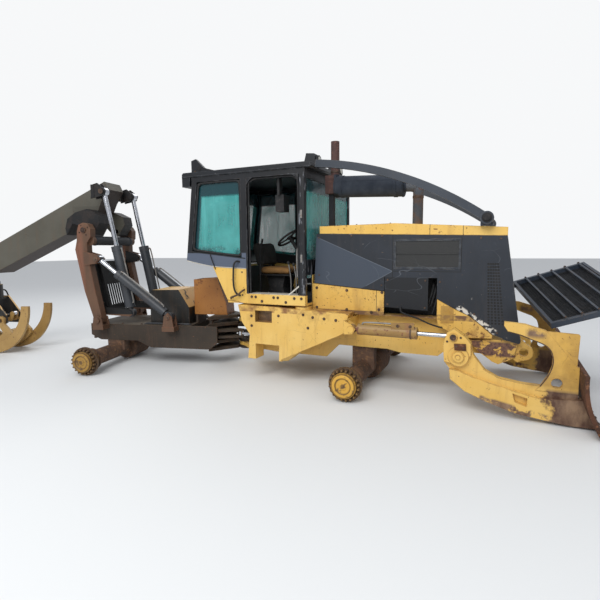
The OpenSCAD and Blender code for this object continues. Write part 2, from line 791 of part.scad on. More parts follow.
// Two fork plates either side of each front tongue, with the hitch pins
module rear_hitch() {
  inner = rear_half - plate_t - seat_gap;
  color("saddlebrown") rear() {
    for (z = hitch_z) {
      for (low = [z - 45, z + 55]) {
        translate([0, 0, low]) linear_extrude(40)
          polygon([[-110, -100], [-110, 100], [-440, inner], [-440, -inner]]);
        translate([0, 0, low]) cylinder(h = 40, r = 118);
      }
      translate([0, 0, z - 55]) cylinder(h = 160, r = hitch_pin_r);
    }
    both_sides() {
      block([-440, 300, hitch_z[0] - 45], [-400, 340, hitch_z[1] + 95]);
      for (z = [steer_z - 60, steer_z + 30])
        translate([0, 0, z]) linear_extrude(30)
          polygon([[-440, 150], [-440, inner], [-60, 245], [0, 215], [0, 175], [-60, 150]]);
    }
  }
}

module deck_cover() {
  color("dimgray") rear()
    side_plate([[-1360, rear_top + seat_gap], [-765, rear_top + seat_gap], [-765, 800], [-916, 1048],
      [-1323, 1040], [-1360, 1000]], -285, 285);
}

module valve_box() {
  color("darkorange") rear() difference() {
    side_plate([[-740, 685.3], [-250, 685.3], [-260, 840], [-385, 1205], [-740, 1185]], -150, 150);
    // open at its top, between its two end walls
    side_plate([[-715, 1000], [-345, 1000], [-405, 1220], [-715, 1220]], -138, 138);
  }
}

module steer_place(side) {
  swing = [steer_eye[0] * cos(yaw_rest) - side * steer_eye[1] * sin(yaw_rest),
    steer_eye[0] * sin(yaw_rest) + side * steer_eye[1] * cos(yaw_rest)];
  foot = [steer_foot[0], side * steer_foot[1]];
  reach = swing - foot;
  translate([foot[0], foot[1], steer_z]) rotate([0, 0, atan2(reach[1], reach[0])]) rotate([90, 0, 0])
    children();
}

function steer_reach(side) = norm([
  steer_eye[0] * cos(yaw_rest) - side * steer_eye[1] * sin(yaw_rest) - steer_foot[0],
  steer_eye[0] * sin(yaw_rest) + side * steer_eye[1] * cos(yaw_rest) - side * steer_foot[1]]);

module steer_barrel_near() {
  color("dimgray") front() steer_place(-1) barrel(STEER);
}

module steer_rod_near() {
  color("silver") front() steer_place(-1) rod(STEER, steer_reach(-1), steer_reach(-1) - steer_rod_length);
}

module steer_barrel_far() {
  color("dimgray") front() steer_place(1) barrel(STEER);
}

module steer_rod_far() {
  color("silver") front() steer_place(1) rod(STEER, steer_reach(1), steer_reach(1) - steer_rod_length);
}

COLUMN_SIDE = [
  [-2082, 640], [-2070, 600], [-2015, 572], [-1965, 600], [-1958, 660], [-2015, 943], [-2093, 1379],
  [-2122, 1560], [-2122, 1715], [-2062, 1790], [-2054, 1905], [-2095, 1972], [-2165, 1990],
  [-2235, 1960], [-2262, 1880],
  [-2278, 1740], [-2310, 1621], [-2201, 1039]
];

FOOT_ARM_SIDE = [
  [-2060, 700], [-2060, 800], [-1630, 772], [-1585, 745], [-1578, 700], [-1620, 672], [-2040, 690]
];

module arch() {
  color("saddlebrown") rear() {
    both_sides() {
      difference() {
        side_plate(COLUMN_SIDE, column_y - column_t / 2, column_y + column_t / 2);
        cross_bar(arch_pivot, 0, 700, 40 + fit);
      }
      // arms that carry the boom cylinders' feet
      for (inner = [BOOM[5] / 2 + side_gap, -BOOM[5] / 2 - side_gap - arm_plate_t])
        side_plate(FOOT_ARM_SIDE, boom_cyl_y + inner, boom_cyl_y + inner + arm_plate_t);
      cross_bar(boom_foot, boom_cyl_y - 55, boom_cyl_y + 55, BOOM[4]);
      // ears for the arch cylinder's eye
      ears(arch_eye, column_y, ARCH, [[-2180, 1400], [-2180, 1600], [-1990, 1550], [-1930, 1490],
        [-1990, 1430]], false);
      // boom pivot pin
      cross_bar(boom_pivot, column_y - column_t / 2 - 140, column_y + column_t / 2 + 12, 38);
    }
    cross_bar([-2110, 1745], -column_y, column_y, 65);
    // plate with its big rounded window
    difference() {
      side_plate([[-2200, 1450], [-2172, 1450], [-2032, 735], [-2060, 735]], -column_y, column_y);
      translate([-2300, 0, 0]) rotate([90, 0, 90]) linear_extrude(400)
        polygon([[-250, 800], [250, 800], [250, 1040], [190, 1110], [-190, 1110], [-250, 1040]]);
    }
    block([-2085, -column_y, 725], [-2025, column_y, 800]);
    // ribs up the plate, beside its window
    both_sides() side_plate([[-2036, 790], [-1985, 790], [-2120, 1400], [-2168, 1440]], 280, 296);
  }
}

module arch_barrels() {
  color("dimgray") rear() both_sides() aim(arch_foot, arch_eye, column_y) barrel(ARCH);
}

module arch_rods() {
  color("silver") rear() both_sides()
    aim(arch_foot, arch_eye, column_y) rod(ARCH, norm(arch_eye - arch_foot), ARCH[3]);
}

BOOM_SIDE = [
  [-2050, 2590], [-2000, 2480], [-2120, 2300], [-2230, 2070], [-4080, 1265], [-4330, 1310], [-4380, 1420],
  [-4330, 1500], [-4150, 1640]
];
BRACKET_SIDE = [
  [-2562, 1925], [-2520, 2060], [-2387, 2145], [-2200, 2190], [-2030, 2110], [-2010, 1990], [-2088, 1880],
  [-2108, 1835], [-2160, 1815], [-2222, 1848], [-2330, 1960], [-2440, 1990], [-2500, 1900], [-2545, 1830]
];

module boom() {
  color("dimgray") rear() {
    difference() {
      side_plate(BOOM_SIDE, -boom_half, boom_half);
      // fork at the tip for the link
      block([-4500, -60, 1200], [-4115, 60, 1700]);
    }
    both_sides() {
      difference() {
        side_plate(BRACKET_SIDE, boom_half - 1, column_y - column_t / 2 - 35);
        cross_bar(boom_pivot, 0, 700, 38 + fit);
      }
      ears(boom_eye, boom_cyl_y, BOOM, [[-2090, 2520], [-2010, 2540], [-1890, 2440], [-1920, 2370],
        [-2120, 2330]], false);
      block([-2110, boom_half - 1, 2350], [-2060, boom_cyl_y + 69, 2520]);
    }
    cross_bar(link_pin, -80, 80, 32);
  }
}

module boom_barrels() {
  color("dimgray") rear() both_sides() aim(boom_foot, boom_eye, boom_cyl_y) barrel(BOOM);
}

module boom_rods() {
  color("silver") rear() both_sides()
    aim(boom_foot, boom_eye, boom_cyl_y) rod(BOOM, norm(boom_eye - boom_foot), BOOM[3]);
}

// Hangs from the boom's tip pin and holds the rotator's shaft
module boom_link() {
  color("black") rear() {
    difference() {
      union() {
        cross_bar(link_pin, -50, 50, 60);
        block([grapple_x - 45, -50, 1110], [grapple_x + 45, 50, link_pin[1]]);
      }
      cross_bar(link_pin, -90, 90, 32 + fit);
    }
    translate([grapple_x, 0, 1080]) cylinder(h = 50, r = 90);
    translate([grapple_x, 0, 975]) cylinder(h = 110, r = 45);
  }
}

module grapple_head() {
  color("black") rear() translate([grapple_x, 0, 0]) {
    difference() {
      translate([0, 0, 860]) cylinder(h = 215, r = 120);
      translate([0, 0, 970]) cylinder(h = 120, r = 45 + fit);
    }
    for (y = [-head_half - 30, head_half])
      difference() {
        side_plate([[-tong_half - 70, tong_z - 40], [-tong_half, tong_z - 80], [tong_half, tong_z - 80],
          [tong_half + 70, tong_z - 40], [tong_half + 60, 600], [120, 880], [-120, 880],
          [-tong_half - 60, 600]], y, y + 30);
        for (x = [-tong_half, tong_half])
          cross_bar([x, tong_z], -200, 200, 30 + fit);
      }
    block([-115, -head_half - 20, 830], [115, head_half + 20, 865]);
  }
}

// One tong: two curved prongs on a pin, with ears on it for the cylinder
tong_ear = [-343, 610];

module tong(inner_y) {
  for (y = [-inner_y - prong_t / 2, inner_y - prong_t / 2])
    tong_prong(y);
  both_sides() {
    cross_bar([-tong_half, tong_z], head_half + 35, inner_y, 55);
    side_plate([[-320, 490], [-240, 490], [-262, 535], [-303, 562], [-312, 625], [-345, 645], [-378, 620],
      [-376, 585]], 30, 48);
  }
  cross_bar([-tong_half, tong_z], -inner_y - 30, inner_y + 30, 30);
  cross_bar([-390, 330], -inner_y, inner_y, 45);
}

module tong_prong(y) {
  difference() {
    intersection() {
      cross_bar([100, tong_r + 1], y, y + prong_t, tong_r);
      side_plate([[100, 751], [-600, 160], [-600, -100], [900, -100], [900, 760]], y, y + prong_t);
    }
    cross_bar([100, tong_r + 41], y - 1, y + prong_t + 1, tong_r - 130);
  }
  side_plate([[-330, 470], [-340, 560], [-280, 590], [-220, 560], [-215, 470], [-300, 330], [-380, 230],
    [-480, 260], [-470, 330]], y, y + prong_t);
}

module tong_rear() {
  color("burlywood") rear() translate([grapple_x, 0, 0]) {
    tong(230);
    cross_bar(tong_ear, -40, 40, TONG[4]);
  }
}

module tong_front() {
  color("burlywood") rear() translate([grapple_x, 0, 0]) mirror([1, 0, 0]) tong(185);
}

module tong_barrel() {
  color("dimgray") rear() translate([grapple_x, 0, 0])
    aim(tong_ear, [-tong_ear[0], tong_ear[1]], 0) barrel(TONG);
}

module tong_rod() {
  color("silver") rear() translate([grapple_x, 0, 0]) aim(tong_ear, [-tong_ear[0], tong_ear[1]], 0)
    rod(TONG, -2 * tong_ear[0], -2 * tong_ear[0] - tong_rod_length);
}

front_frame();
fairings();
front_hitch();
blade_pivots();
nose();
front_axle();
hub_front_near();
hub_front_far();
hub_rear_near();
hub_rear_far();
engine();
radiator();
hood_top();
hood_sides();
lower_panels();
grille_door();
limb_risers();
exhaust();
cab_base();
cab_frame();
roof();
roof_fittings();
cab_glass();
cab_door();
door_glass();
seat();
console();
blade_arms();
moldboard();
lift_barrels();
lift_rods();
rear_frame();
rear_hitch();
arch_mounts();
rear_axle();
deck_cover();
valve_box();
steer_barrel_near();
steer_rod_near();
steer_barrel_far();
steer_rod_far();
arch();
arch_barrels();
arch_rods();
boom();
boom_barrels();
boom_rods();
boom_link();
grapple_head();
tong_rear();
tong_front();
tong_barrel();
tong_rod();
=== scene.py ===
import bmesh
import bpy
import math
from mathutils import Matrix, Vector


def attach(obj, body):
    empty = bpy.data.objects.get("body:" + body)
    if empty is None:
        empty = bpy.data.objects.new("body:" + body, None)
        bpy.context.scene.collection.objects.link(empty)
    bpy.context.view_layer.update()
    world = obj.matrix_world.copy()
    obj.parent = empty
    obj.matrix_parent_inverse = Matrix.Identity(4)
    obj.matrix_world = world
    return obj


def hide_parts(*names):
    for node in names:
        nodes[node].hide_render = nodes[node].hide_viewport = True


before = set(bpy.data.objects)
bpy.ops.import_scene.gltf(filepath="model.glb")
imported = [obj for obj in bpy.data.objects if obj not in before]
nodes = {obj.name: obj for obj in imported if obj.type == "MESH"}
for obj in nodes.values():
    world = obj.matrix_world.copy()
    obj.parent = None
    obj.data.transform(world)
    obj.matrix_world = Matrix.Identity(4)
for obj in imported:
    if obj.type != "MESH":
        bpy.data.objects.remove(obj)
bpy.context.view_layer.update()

# The hitch: where the two halves meet
# The front half stands square in the row's frame. The rear half is turned about
# the hitch pins, as the machine was left. Every piece below is written in its
# own half's frame and put in place by one of these two matrices.
TURN = math.radians(13.2)
HITCH = (0.2735, 0.1934, 0.0)
FRONT = Matrix.Translation(HITCH)
REAR = FRONT @ Matrix.Rotation(TURN, 4, "Z")

# Camera
# It stands off the near side, level with the hood, and looks back towards the
# cab, as the photograph was taken.
LENS_FOCAL = 438.6 / 600 * 36
CAMERA_AT = Vector((3.306, -5.350, 1.613))
LOOK_YAW, LOOK_DOWN, LOOK_ROLL = -0.433, 0.1176, -0.0093
ahead = Vector((math.sin(LOOK_YAW), math.cos(LOOK_YAW), 0))
across = Vector((math.cos(LOOK_YAW), -math.sin(LOOK_YAW), 0))
aim = ahead * math.cos(LOOK_DOWN) - Vector((0, 0, 1)) * math.sin(LOOK_DOWN)
over = Vector((0, 0, 1)) * math.cos(LOOK_DOWN) + ahead * math.sin(LOOK_DOWN)
right = across * math.cos(LOOK_ROLL) + over * math.sin(LOOK_ROLL)
upward = over * math.cos(LOOK_ROLL) - across * math.sin(LOOK_ROLL)
camera_data = bpy.data.cameras.new("camera")
camera_data.lens = LENS_FOCAL
camera_data.sensor_width = 36
camera_data.clip_end = 200
camera = bpy.data.objects.new("camera", camera_data)
bpy.context.scene.collection.objects.link(camera)
turned = Matrix((right, upward, -aim)).transposed().to_4x4()
camera.matrix_world = Matrix.Translation(FRONT @ CAMERA_AT) @ turned
bpy.context.scene.camera = camera

# Studio floor and light
# A wide pale floor under a soft white sky, one large softbox high on the near
# side and a weaker one behind, as on an overcast day.
bpy.context.scene.view_settings.view_transform = "Standard"


def linear(red, green, blue):
    shades = [v / 255 for v in (red, green, blue)]
    return [v / 12.92 if v <= 0.04045 else ((v + 0.055) / 1.055) ** 2.4 for v in shades] + [1.0]


def softbox(name, place, target, size, watts):
    lamp = bpy.data.lights.new(name, "AREA")
    lamp.size = size
    lamp.energy = watts
    box = bpy.data.objects.new(name, lamp)
    bpy.context.scene.collection.objects.link(box)
    box.location = place
    box.rotation_euler = (Vector(target) - Vector(place)).to_track_quat("-Z", "Y").to_euler()


softbox("key_box", (1.5, -9, 8.5), (0.5, 0, 1), 7, 900)
softbox("back_box", (-4, 8, 8), (0, 0, 1), 7, 320)
sky = bpy.data.worlds.new("sky")
sky.use_nodes = True
bpy.context.scene.world = sky
sky_tree = sky.node_tree
backdrop = sky_tree.nodes["Background"]
backdrop.inputs["Color"].default_value = (0.93, 0.95, 1.0, 1)
backdrop.inputs["Strength"].default_value = 0.62
seen = sky_tree.nodes.new("ShaderNodeBackground")
seen.inputs["Color"].default_value = (0.93, 0.94, 0.95, 1)
seen.inputs["Strength"].default_value = 1.0
rays = sky_tree.nodes.new("ShaderNodeLightPath")
either = sky_tree.nodes.new("ShaderNodeMath")
either.operation = "MAXIMUM"
swap = sky_tree.nodes.new("ShaderNodeMixShader")
sky_tree.links.new(rays.outputs["Is Camera Ray"], either.inputs[0])
sky_tree.links.new(rays.outputs["Is Transmission Ray"], either.inputs[1])
sky_tree.links.new(either.outputs[0], swap.inputs[0])
sky_tree.links.new(backdrop.outputs[0], swap.inputs[1])
sky_tree.links.new(seen.outputs[0], swap.inputs[2])
sky_tree.links.new(swap.outputs[0], sky_tree.nodes["World Output"].inputs[0])

floor_mesh = bpy.data.meshes.new("floor")
REACH = 60
floor_mesh.from_pydata(
    [(-REACH, -REACH, 0), (REACH, -REACH, 0), (REACH, REACH, 0), (-REACH, REACH, 0)], [], [(0, 1, 2, 3)]
)
floor = bpy.data.objects.new("floor", floor_mesh)
bpy.context.scene.collection.objects.link(floor)
floor_paint = bpy.data.materials.new("floor_paint")
floor_paint.use_nodes = True
floor_paint.node_tree.nodes["Principled BSDF"].inputs["Base Color"].default_value = linear(226, 228, 228)
floor_paint.node_tree.nodes["Principled BSDF"].inputs["Roughness"].default_value = 0.9
floor_mesh.materials.append(floor_paint)

# Finishes: what age has done to painted and bare steel
# Each finish is paint over steel: sun-faded in patches, streaked by rain, dusty
# where it faces up, bright or rusty along its edges, and chipped to rust.
class Finish:
    def __init__(self, name, roughness=0.5, metallic=0.0, slot="", turn=0.0):
        self.material = bpy.data.materials.new(name)
        self.material.use_nodes = True
        self.tree = self.material.node_tree
        self.shader = self.tree.nodes["Principled BSDF"]
        self.shader.inputs["Roughness"].default_value = roughness
        self.shader.inputs["Metallic"].default_value = metallic
        self.place = self.tree.nodes.new("ShaderNodeTexCoord").outputs["Object"]
        self.material["slot"] = slot
        home = self.node("Mapping", Vector=self.place, Location=HITCH, Rotation=(0, 0, turn))
        home.vector_type = "TEXTURE"
        self.at = self.node("SeparateXYZ", Vector=home.outputs[0]).outputs

    def node(self, kind, **sockets):
        made = self.tree.nodes.new("ShaderNode" + kind)
        for key, value in sockets.items():
            self.put(made.inputs[key.replace("_", " ")], value)
        return made

    def put(self, socket, value):
        if isinstance(value, bpy.types.NodeSocket):
            self.tree.links.new(value, socket)
        else:
            socket.default_value = value

    def noise(self, scale, stretch=(1, 1, 1), detail=6, rough=0.6, shift=0.0):
        away = (shift, shift * 0.7, shift * 1.3)
        moved = self.node("Mapping", Vector=self.place, Scale=stretch, Location=away)
        made = self.node("TexNoise", Vector=moved.outputs[0], Scale=scale, Detail=detail, Roughness=rough)
        return made.outputs[0]

    def between(self, value, low, high, to=1.0):
        made = self.node("MapRange", Value=value, From_Min=low, From_Max=high, To_Max=to)
        return made.outputs[0]

    def patch(self, scale, low, high, to=1.0, **noise):
        return self.between(self.noise(scale, **noise), low, high, to)

    def maths(self, kind, one, two=0.0):
        made = self.node("Math")
        made.operation = kind
        self.put(made.inputs[0], one)
        self.put(made.inputs[1], two)
        return made.outputs[0]

    def both(self, one, two):
        return self.maths("MULTIPLY", one, two)

    def either(self, one, two):
        return self.maths("MAXIMUM", one, two)

    def zone(self, x=None, y=None, z=None, soft=0.003):
        mask = 1.0
        for axis, limits in enumerate((x, y, z)):
            if limits:
                low = self.between(self.at[axis], limits[0] - soft, limits[0] + soft)
                high = self.between(self.at[axis], limits[1] + soft, limits[1] - soft)
                mask = self.both(mask, self.both(low, high))
        return mask

    def side(self, low, high, soft=0.003):
        far = self.maths("ABSOLUTE", self.at[1])
        inner, outer = self.between(far, low - soft, low + soft), self.between(far, high + soft, high - soft)
        return self.both(inner, outer)

    def measured(self, tx, tz, offset):
        along = self.maths("ADD", self.both(self.at[0], tx), self.both(self.at[2], tz))
        return self.maths("SUBTRACT", along, offset)

    def line(self, start, end, width):
        (x, z), run = start, math.dist(start, end)
        tx, tz = (end[0] - x) / run, (end[1] - z) / run
        away = self.maths("ABSOLUTE", self.measured(-tz, tx, z * tx - x * tz))
        along = self.measured(tx, tz, x * tx + z * tz)
        inside = self.both(self.between(along, -0.01, 0.01), self.between(along, run + 0.01, run - 0.01))
        return self.both(inside, self.between(away, width, width * 0.6))

    def below(self, start, end, soft=0.004):
        (x, z), run = start, math.dist(start, end)
        tx, tz = (end[0] - x) / run, (end[1] - z) / run
        return self.between(self.measured(-tz, tx, z * tx - x * tz), soft, -soft)

    def facing_up(self):
        return self.node("SeparateXYZ", Vector=self.node("NewGeometry").outputs["True Normal"]).outputs[2]

    def grid(self, pitch, wire, axes=(0, 2)):
        cells = []
        for axis in axes:
            step = self.maths("FRACT", self.both(self.at[axis], 1 / pitch))
            cells.append(self.between(step, wire, wire * 0.7))
        return self.either(cells[0], cells[1])

    def scratches(self, scale, shift=0.0, width=0.012):
        bent = self.node("Mapping", Vector=self.place, Location=(shift, shift, shift), Scale=(1.0, 1.0, 1.6))
        wave = self.node("TexNoise", Vector=bent.outputs[0], Scale=1.7, Detail=2)
        mixed = self.node("MixRGB", Fac=0.35, Color1=bent.outputs[0], Color2=wave.outputs["Color"])
        cells = self.node("TexVoronoi", Vector=mixed.outputs[0], Scale=scale)
        cells.feature = "DISTANCE_TO_EDGE"
        thin = self.between(cells.outputs["Distance"], width, width * 0.3)
        return self.both(thin, self.patch(2.4, 0.52, 0.6, shift=shift + 4))

    def cover(self, mask, under, top):
        under, top = (linear(*c) if isinstance(c, tuple) else c for c in (under, top))
        return self.node("MixRGB", Fac=mask, Color1=under, Color2=top).outputs[0]

    def lay(self, mask, tone, strength=1.0):
        self.body = self.cover(self.both(mask, strength), self.body, tone)

    def edges(self, radius):
        soft = self.node("Bevel", Radius=radius)
        soft.samples = 4
        plain = self.node("NewGeometry")
        alike = self.node("VectorMath")
        alike.operation = "DOT_PRODUCT"
        self.put(alike.inputs[0], soft.outputs[0])
        self.put(alike.inputs[1], plain.outputs["Normal"])
        return self.between(alike.outputs["Value"], 0.995, 0.86)

    def upward(self):
        return self.between(self.facing_up(), 0.35, 0.95)

    def rough(self, value, low, high):
        made = self.node("MapRange", Value=value, To_Min=low, To_Max=high)
        self.put(self.shader.inputs["Roughness"], made.outputs[0])

    def bump(self, height, depth, distance=0.01):
        made = self.node("Bump", Strength=depth, Distance=distance, Height=height)
        self.put(self.shader.inputs["Normal"], made.outputs[0])

    def colour(self, value):
        self.put(self.shader.inputs["Base Color"], value)


def worn_paint(name, paint, faded, chip, rust, wear=0.5, chips=0.3, streaks=0.4, dust=0.4, roughness=0.45,
               dust_tone=(150, 140, 120), slot="yellow", turn=0.0, marks=None):
    coat = Finish(name, roughness, 0.0, slot, turn)
    patches = coat.patch(1.3, 0.35, 0.68, detail=5)
    coat.body = coat.cover(patches, paint, faded)
    rain = coat.patch(6, 0.52, 0.78, streaks, stretch=(2.2, 2.2, 0.22), detail=8, rough=0.7, shift=3)
    coat.lay(rain, rust)
    specks = coat.patch(34, 0.70 - 0.10 * chips, 0.74 - 0.10 * chips, detail=3, rough=0.55, shift=7)
    blotch = coat.patch(3.2, 0.72 - 0.20 * chips, 0.76 - 0.20 * chips, detail=9, rough=0.72, shift=11)
    scuffed = coat.patch(9, 0.62 - 0.35 * wear, 0.72 - 0.2 * wear, shift=5)
    worn = coat.both(coat.edges(0.012), scuffed)
    bare = coat.either(coat.either(specks, blotch), worn)
    steel = coat.cover(coat.patch(22, 0.4, 0.62, shift=2), chip, rust)
    coat.lay(bare, steel)
    grime = coat.both(coat.upward(), coat.patch(2.5, 0.25, 0.75, dust, shift=9))
    coat.lay(grime, dust_tone)
    if marks:
        marks(coat)
    coat.colour(coat.body)
    coat.rough(coat.either(bare, grime), roughness, 0.85)
    height = coat.maths("SUBTRACT", coat.both(coat.noise(45, detail=4), 0.12), bare)
    coat.bump(height, 0.35, 0.004)
    return coat.material


def rusty_steel(name, dark, light, crust, roughness=0.8, metallic=0.0, slot="rust", marks=None):
    steel = Finish(name, roughness, metallic, slot)
    steel.body = steel.cover(steel.patch(5, 0.38, 0.62, detail=9, rough=0.7), dark, light)
    steel.lay(steel.patch(26, 0.55, 0.68, detail=6, shift=4), crust)
    if marks:
        marks(steel)
    steel.colour(steel.body)
    steel.bump(steel.noise(60, detail=8, rough=0.75), 0.5, 0.004)
    return steel.material


# Frame and hitch, and the steel of bolts and seals
# Both frames are welded plate, painted yellow at the front. Marks that belong
# to one place are laid over the general wear, in that place's coordinates.
def plain_marks(coat):
    cracks = coat.scratches(5.0, 2.0, 0.006)
    coat.lay(cracks, (120, 92, 54), 0.6)


def coated(finish, names):
    for name in names.split():
        nodes[name].data.materials.clear()
        nodes[name].data.materials.append(finish)


SUN, PALE = (216, 170, 76), (228, 190, 108)
yellow = worn_paint("faded_yellow", SUN, PALE, (92, 62, 44), (150, 104, 58), dust=0.25, marks=plain_marks)
bolt_steel = rusty_steel("bolt_steel", (62, 48, 42), (98, 78, 64), (128, 96, 74), 0.7, 0.3)
worn_steel = rusty_steel("worn_steel", (112, 108, 104), (146, 144, 140), (110, 84, 64), 0.5, 0.4,
                         slot="chrome")
rubber = rusty_steel("old_rubber", (18, 18, 19), (32, 32, 33), (52, 48, 46), 0.75, slot="black_paint")
coated(yellow, "front_frame front_hitch blade_pivots")

# Side boxes, sill and feet below the cab
# Bolts hold the sill and the side boxes. Each bolt is a washered hex head,
# turned at random, and the row is one piece on its body.
def fairing_marks(coat):
    plain_marks(coat)
    pocket = coat.both(coat.zone(x=(0.598, 0.832), z=(0.728, 0.872)), coat.side(0.60, 0.795))
    stain = coat.cover(coat.patch(14, 0.4, 0.6, shift=6), (128, 98, 62), (92, 68, 46))
    coat.lay(pocket, stain)
    soot = coat.patch(3.2, 0.56, 0.70, stretch=(1, 1, 0.7), detail=8, rough=0.7, shift=41)
    coat.lay(soot, (146, 112, 58), 0.6)
    feet = coat.both(coat.zone(z=(0.852, 0.9345)), coat.patch(6, 0.44, 0.60, shift=9))
    coat.lay(feet, (140, 98, 56))
    ledge = coat.both(coat.upward(), coat.patch(5, 0.50, 0.60, shift=12))
    coat.lay(ledge, (150, 108, 62))


SIDES = ((-1, "near"), (1, "far"))
REAR_BODIES = ("rear", "arch", "boom", "arch_barrels", "boom_barrels", "hub_rear_near", "hub_rear_far")
fairing_yellow = worn_paint("fairing_yellow", SUN, PALE, (92, 62, 44), (146, 100, 56), dust=0.3,
                            marks=fairing_marks)
pale_sill = worn_paint("pale_sill", (186, 182, 170), (204, 200, 190), (110, 100, 90), (130, 108, 84),
                       chips=0.2, streaks=0.3, dust=0.3, slot="chrome")
coated(fairing_yellow, "fairings")


def settle(name, body, mesh, finish):
    mesh.materials.clear()
    mesh.materials.append(finish)
    piece = bpy.data.objects.new(name, mesh)
    bpy.context.scene.collection.objects.link(piece)
    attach(piece, body)
    return piece


def home_of(body):
    return REAR if body in REAR_BODIES else FRONT


def shell(name, body, verts, faces, finish, home=None, bevel=0.0, angle=0.6):
    mesh = bpy.data.meshes.new(name)
    home = home or home_of(body)
    mesh.from_pydata([home @ Vector(v) for v in verts], [], faces)
    work = bmesh.new()
    work.from_mesh(mesh)
    bmesh.ops.remove_doubles(work, verts=work.verts, dist=1e-5)
    bmesh.ops.recalc_face_normals(work, faces=work.faces)
    if bevel:
        sharp = [e for e in work.edges if e.calc_face_angle(0) > 0.5]
        bmesh.ops.bevel(work, geom=sharp, offset=bevel, segments=2, profile=0.5, affect="EDGES",
                        clamp_overlap=True)
    work.to_mesh(mesh)
    work.free()
    mesh.shade_smooth()
    mesh.set_sharp_from_angle(angle=angle)
    return settle(name, body, mesh, finish)


def rect(x0, z0, x1, z1):
    return [(x0, z0), (x1, z0), (x1, z1), (x0, z1)]


def prism(outline, low, high, across="Y"):
    order = {"X": lambda a, b, v: (v, a, b), "Y": lambda a, b, v: (a, v, b), "Z": lambda a, b, v: (a, b, v)}
    n = len(outline)
    verts = [order[across](a, b, level) for level in sorted((low, high)) for a, b in outline]
    faces = [tuple(range(n)), tuple(range(2 * n - 1, n - 1, -1))]
    faces += [(i, (i + 1) % n, n + (i + 1) % n, n + i) for i in range(n)]
    return verts, faces


def slab(name, body, outline, low, high, finish, across="Y", bevel=0.002, home=None):
    return shell(name, body, *prism(outline, low, high, across), finish, home, bevel)


def ring_faces(rings, sides, closed=False):
    faces = []
    for i in range(rings if closed else rings - 1):
        low, high = i * sides, (i + 1) % rings * sides
        for k in range(sides):
            beside = (k + 1) % sides
            faces.append((low + k, low + beside, high + beside, high + k))
    if not closed:
        faces += [tuple(range(sides)), tuple(range(rings * sides - 1, (rings - 1) * sides - 1, -1))]
    return faces


def swept(route, radius, sides, closed=False):
    knots = [Vector(p) for p in route]
    path = []
    spans = len(knots) if closed else len(knots) - 1
    for i in range(spans):
        near = [i + k if closed else min(max(i + k, 0), spans) for k in (-1, 0, 1, 2)]
        a, b, c, d = (knots[k % len(knots)] for k in near)
        for s in range(8):
            t = s / 8
            bend = (2 * a - 5 * b + 4 * c - d) * t * t + (3 * b - a - 3 * c + d) * t ** 3
            path.append(0.5 * (2 * b + (c - a) * t + bend))
    if not closed:
        path.append(knots[-1])
    verts, count = [], len(path)
    normal = (path[1] - path[0]).orthogonal().normalized()
    for i, point in enumerate(path):
        before = path[i - 1] if i or closed else path[0]
        after = path[(i + 1) % count] if i < count - 1 or closed else path[-1]
        tangent = (after - before).normalized()
        normal = (normal - tangent * normal.dot(tangent)).normalized()
        side = tangent.cross(normal)
        for k in range(sides):
            turn = math.tau * k / sides
            verts.append(point + radius * (math.cos(turn) * normal + math.sin(turn) * side))
    return verts, ring_faces(count, sides, closed), path


def free_hose(name, route, radius):
    verts, faces, path = swept(route, radius, 12)
    hose = shell(name, "front", verts, faces, rubber, angle=1.2)
    path = [FRONT @ point for point in path]


def pipe(name, body, route, radius, finish, sides=10, closed=False, home=None):
    verts, faces, _ = swept(route, radius, sides, closed)
    return shell(name, body, verts, faces, finish, home, angle=1.2)


def band(inner, outer, low, high):
    return [(inner, low), (outer, low + 0.002), (outer, high - 0.002), (inner, high)]


def capped(radius, rim, nub, tall):
    return [(radius, 0.0), (radius + 0.001, rim), (nub, rim + 0.002), (nub, tall), (0.0, tall + 0.001)]


def lathe(name, body, profile, at, facing, finish, sides=32, home=None):
    spin = Vector(facing).to_track_quat("Z", "Y").to_matrix()
    verts = []
    for r, h in profile:
        for k in range(sides):
            a = math.tau * k / sides
            verts.append(Vector(at) + spin @ Vector((r * math.cos(a), r * math.sin(a), h)))
    return shell(name, body, verts, ring_faces(len(profile), sides), finish, home)


def stamp_of(*rings):
    mesh = bpy.data.meshes.new("stamp")
    verts, faces = [], []
    for (r, h, n) in rings:
        first = len(verts)
        verts += [(r * math.cos(math.tau * k / n), r * math.sin(math.tau * k / n), z) for z in h
                  for k in range(n)]
        faces += [(first + k, first + (k + 1) % n, first + n + (k + 1) % n, first + n + k) for k in range(n)]
        faces += [tuple(first + n + k for k in range(n)), tuple(first + k for k in reversed(range(n)))]
    mesh.from_pydata(verts, [], faces)
    stamp = bpy.data.objects.new("stamp", mesh)
    bpy.context.scene.collection.objects.link(stamp)
    return stamp


scatter = bpy.data.node_groups.new("scatter_rows", "GeometryNodeTree")
sockets = {"in": scatter.interface.new_socket("Points", in_out="INPUT", socket_type="NodeSocketGeometry")}
for label, kind in (("Stamp", "Object"), ("Facing", "Vector"), ("Spin", "Float"), ("Finish", "Material")):
    sockets[label] = scatter.interface.new_socket(label, in_out="INPUT", socket_type="NodeSocket" + kind)
scatter.interface.new_socket("Rows", in_out="OUTPUT", socket_type="NodeSocketGeometry")
source = scatter.nodes.new("NodeGroupInput")
drain = scatter.nodes.new("NodeGroupOutput")
info = scatter.nodes.new("GeometryNodeObjectInfo")
random_turn = scatter.nodes.new("FunctionNodeRandomValue")
random_turn.data_type = "FLOAT"
random_turn.inputs["Seed"].default_value = 7
spin_axis = scatter.nodes.new("ShaderNodeCombineXYZ")
as_turn = scatter.nodes.new("FunctionNodeEulerToRotation")
face_out = scatter.nodes.new("FunctionNodeAlignRotationToVector")
face_out.axis = "Z"
on_points = scatter.nodes.new("GeometryNodeInstanceOnPoints")
real = scatter.nodes.new("GeometryNodeRealizeInstances")
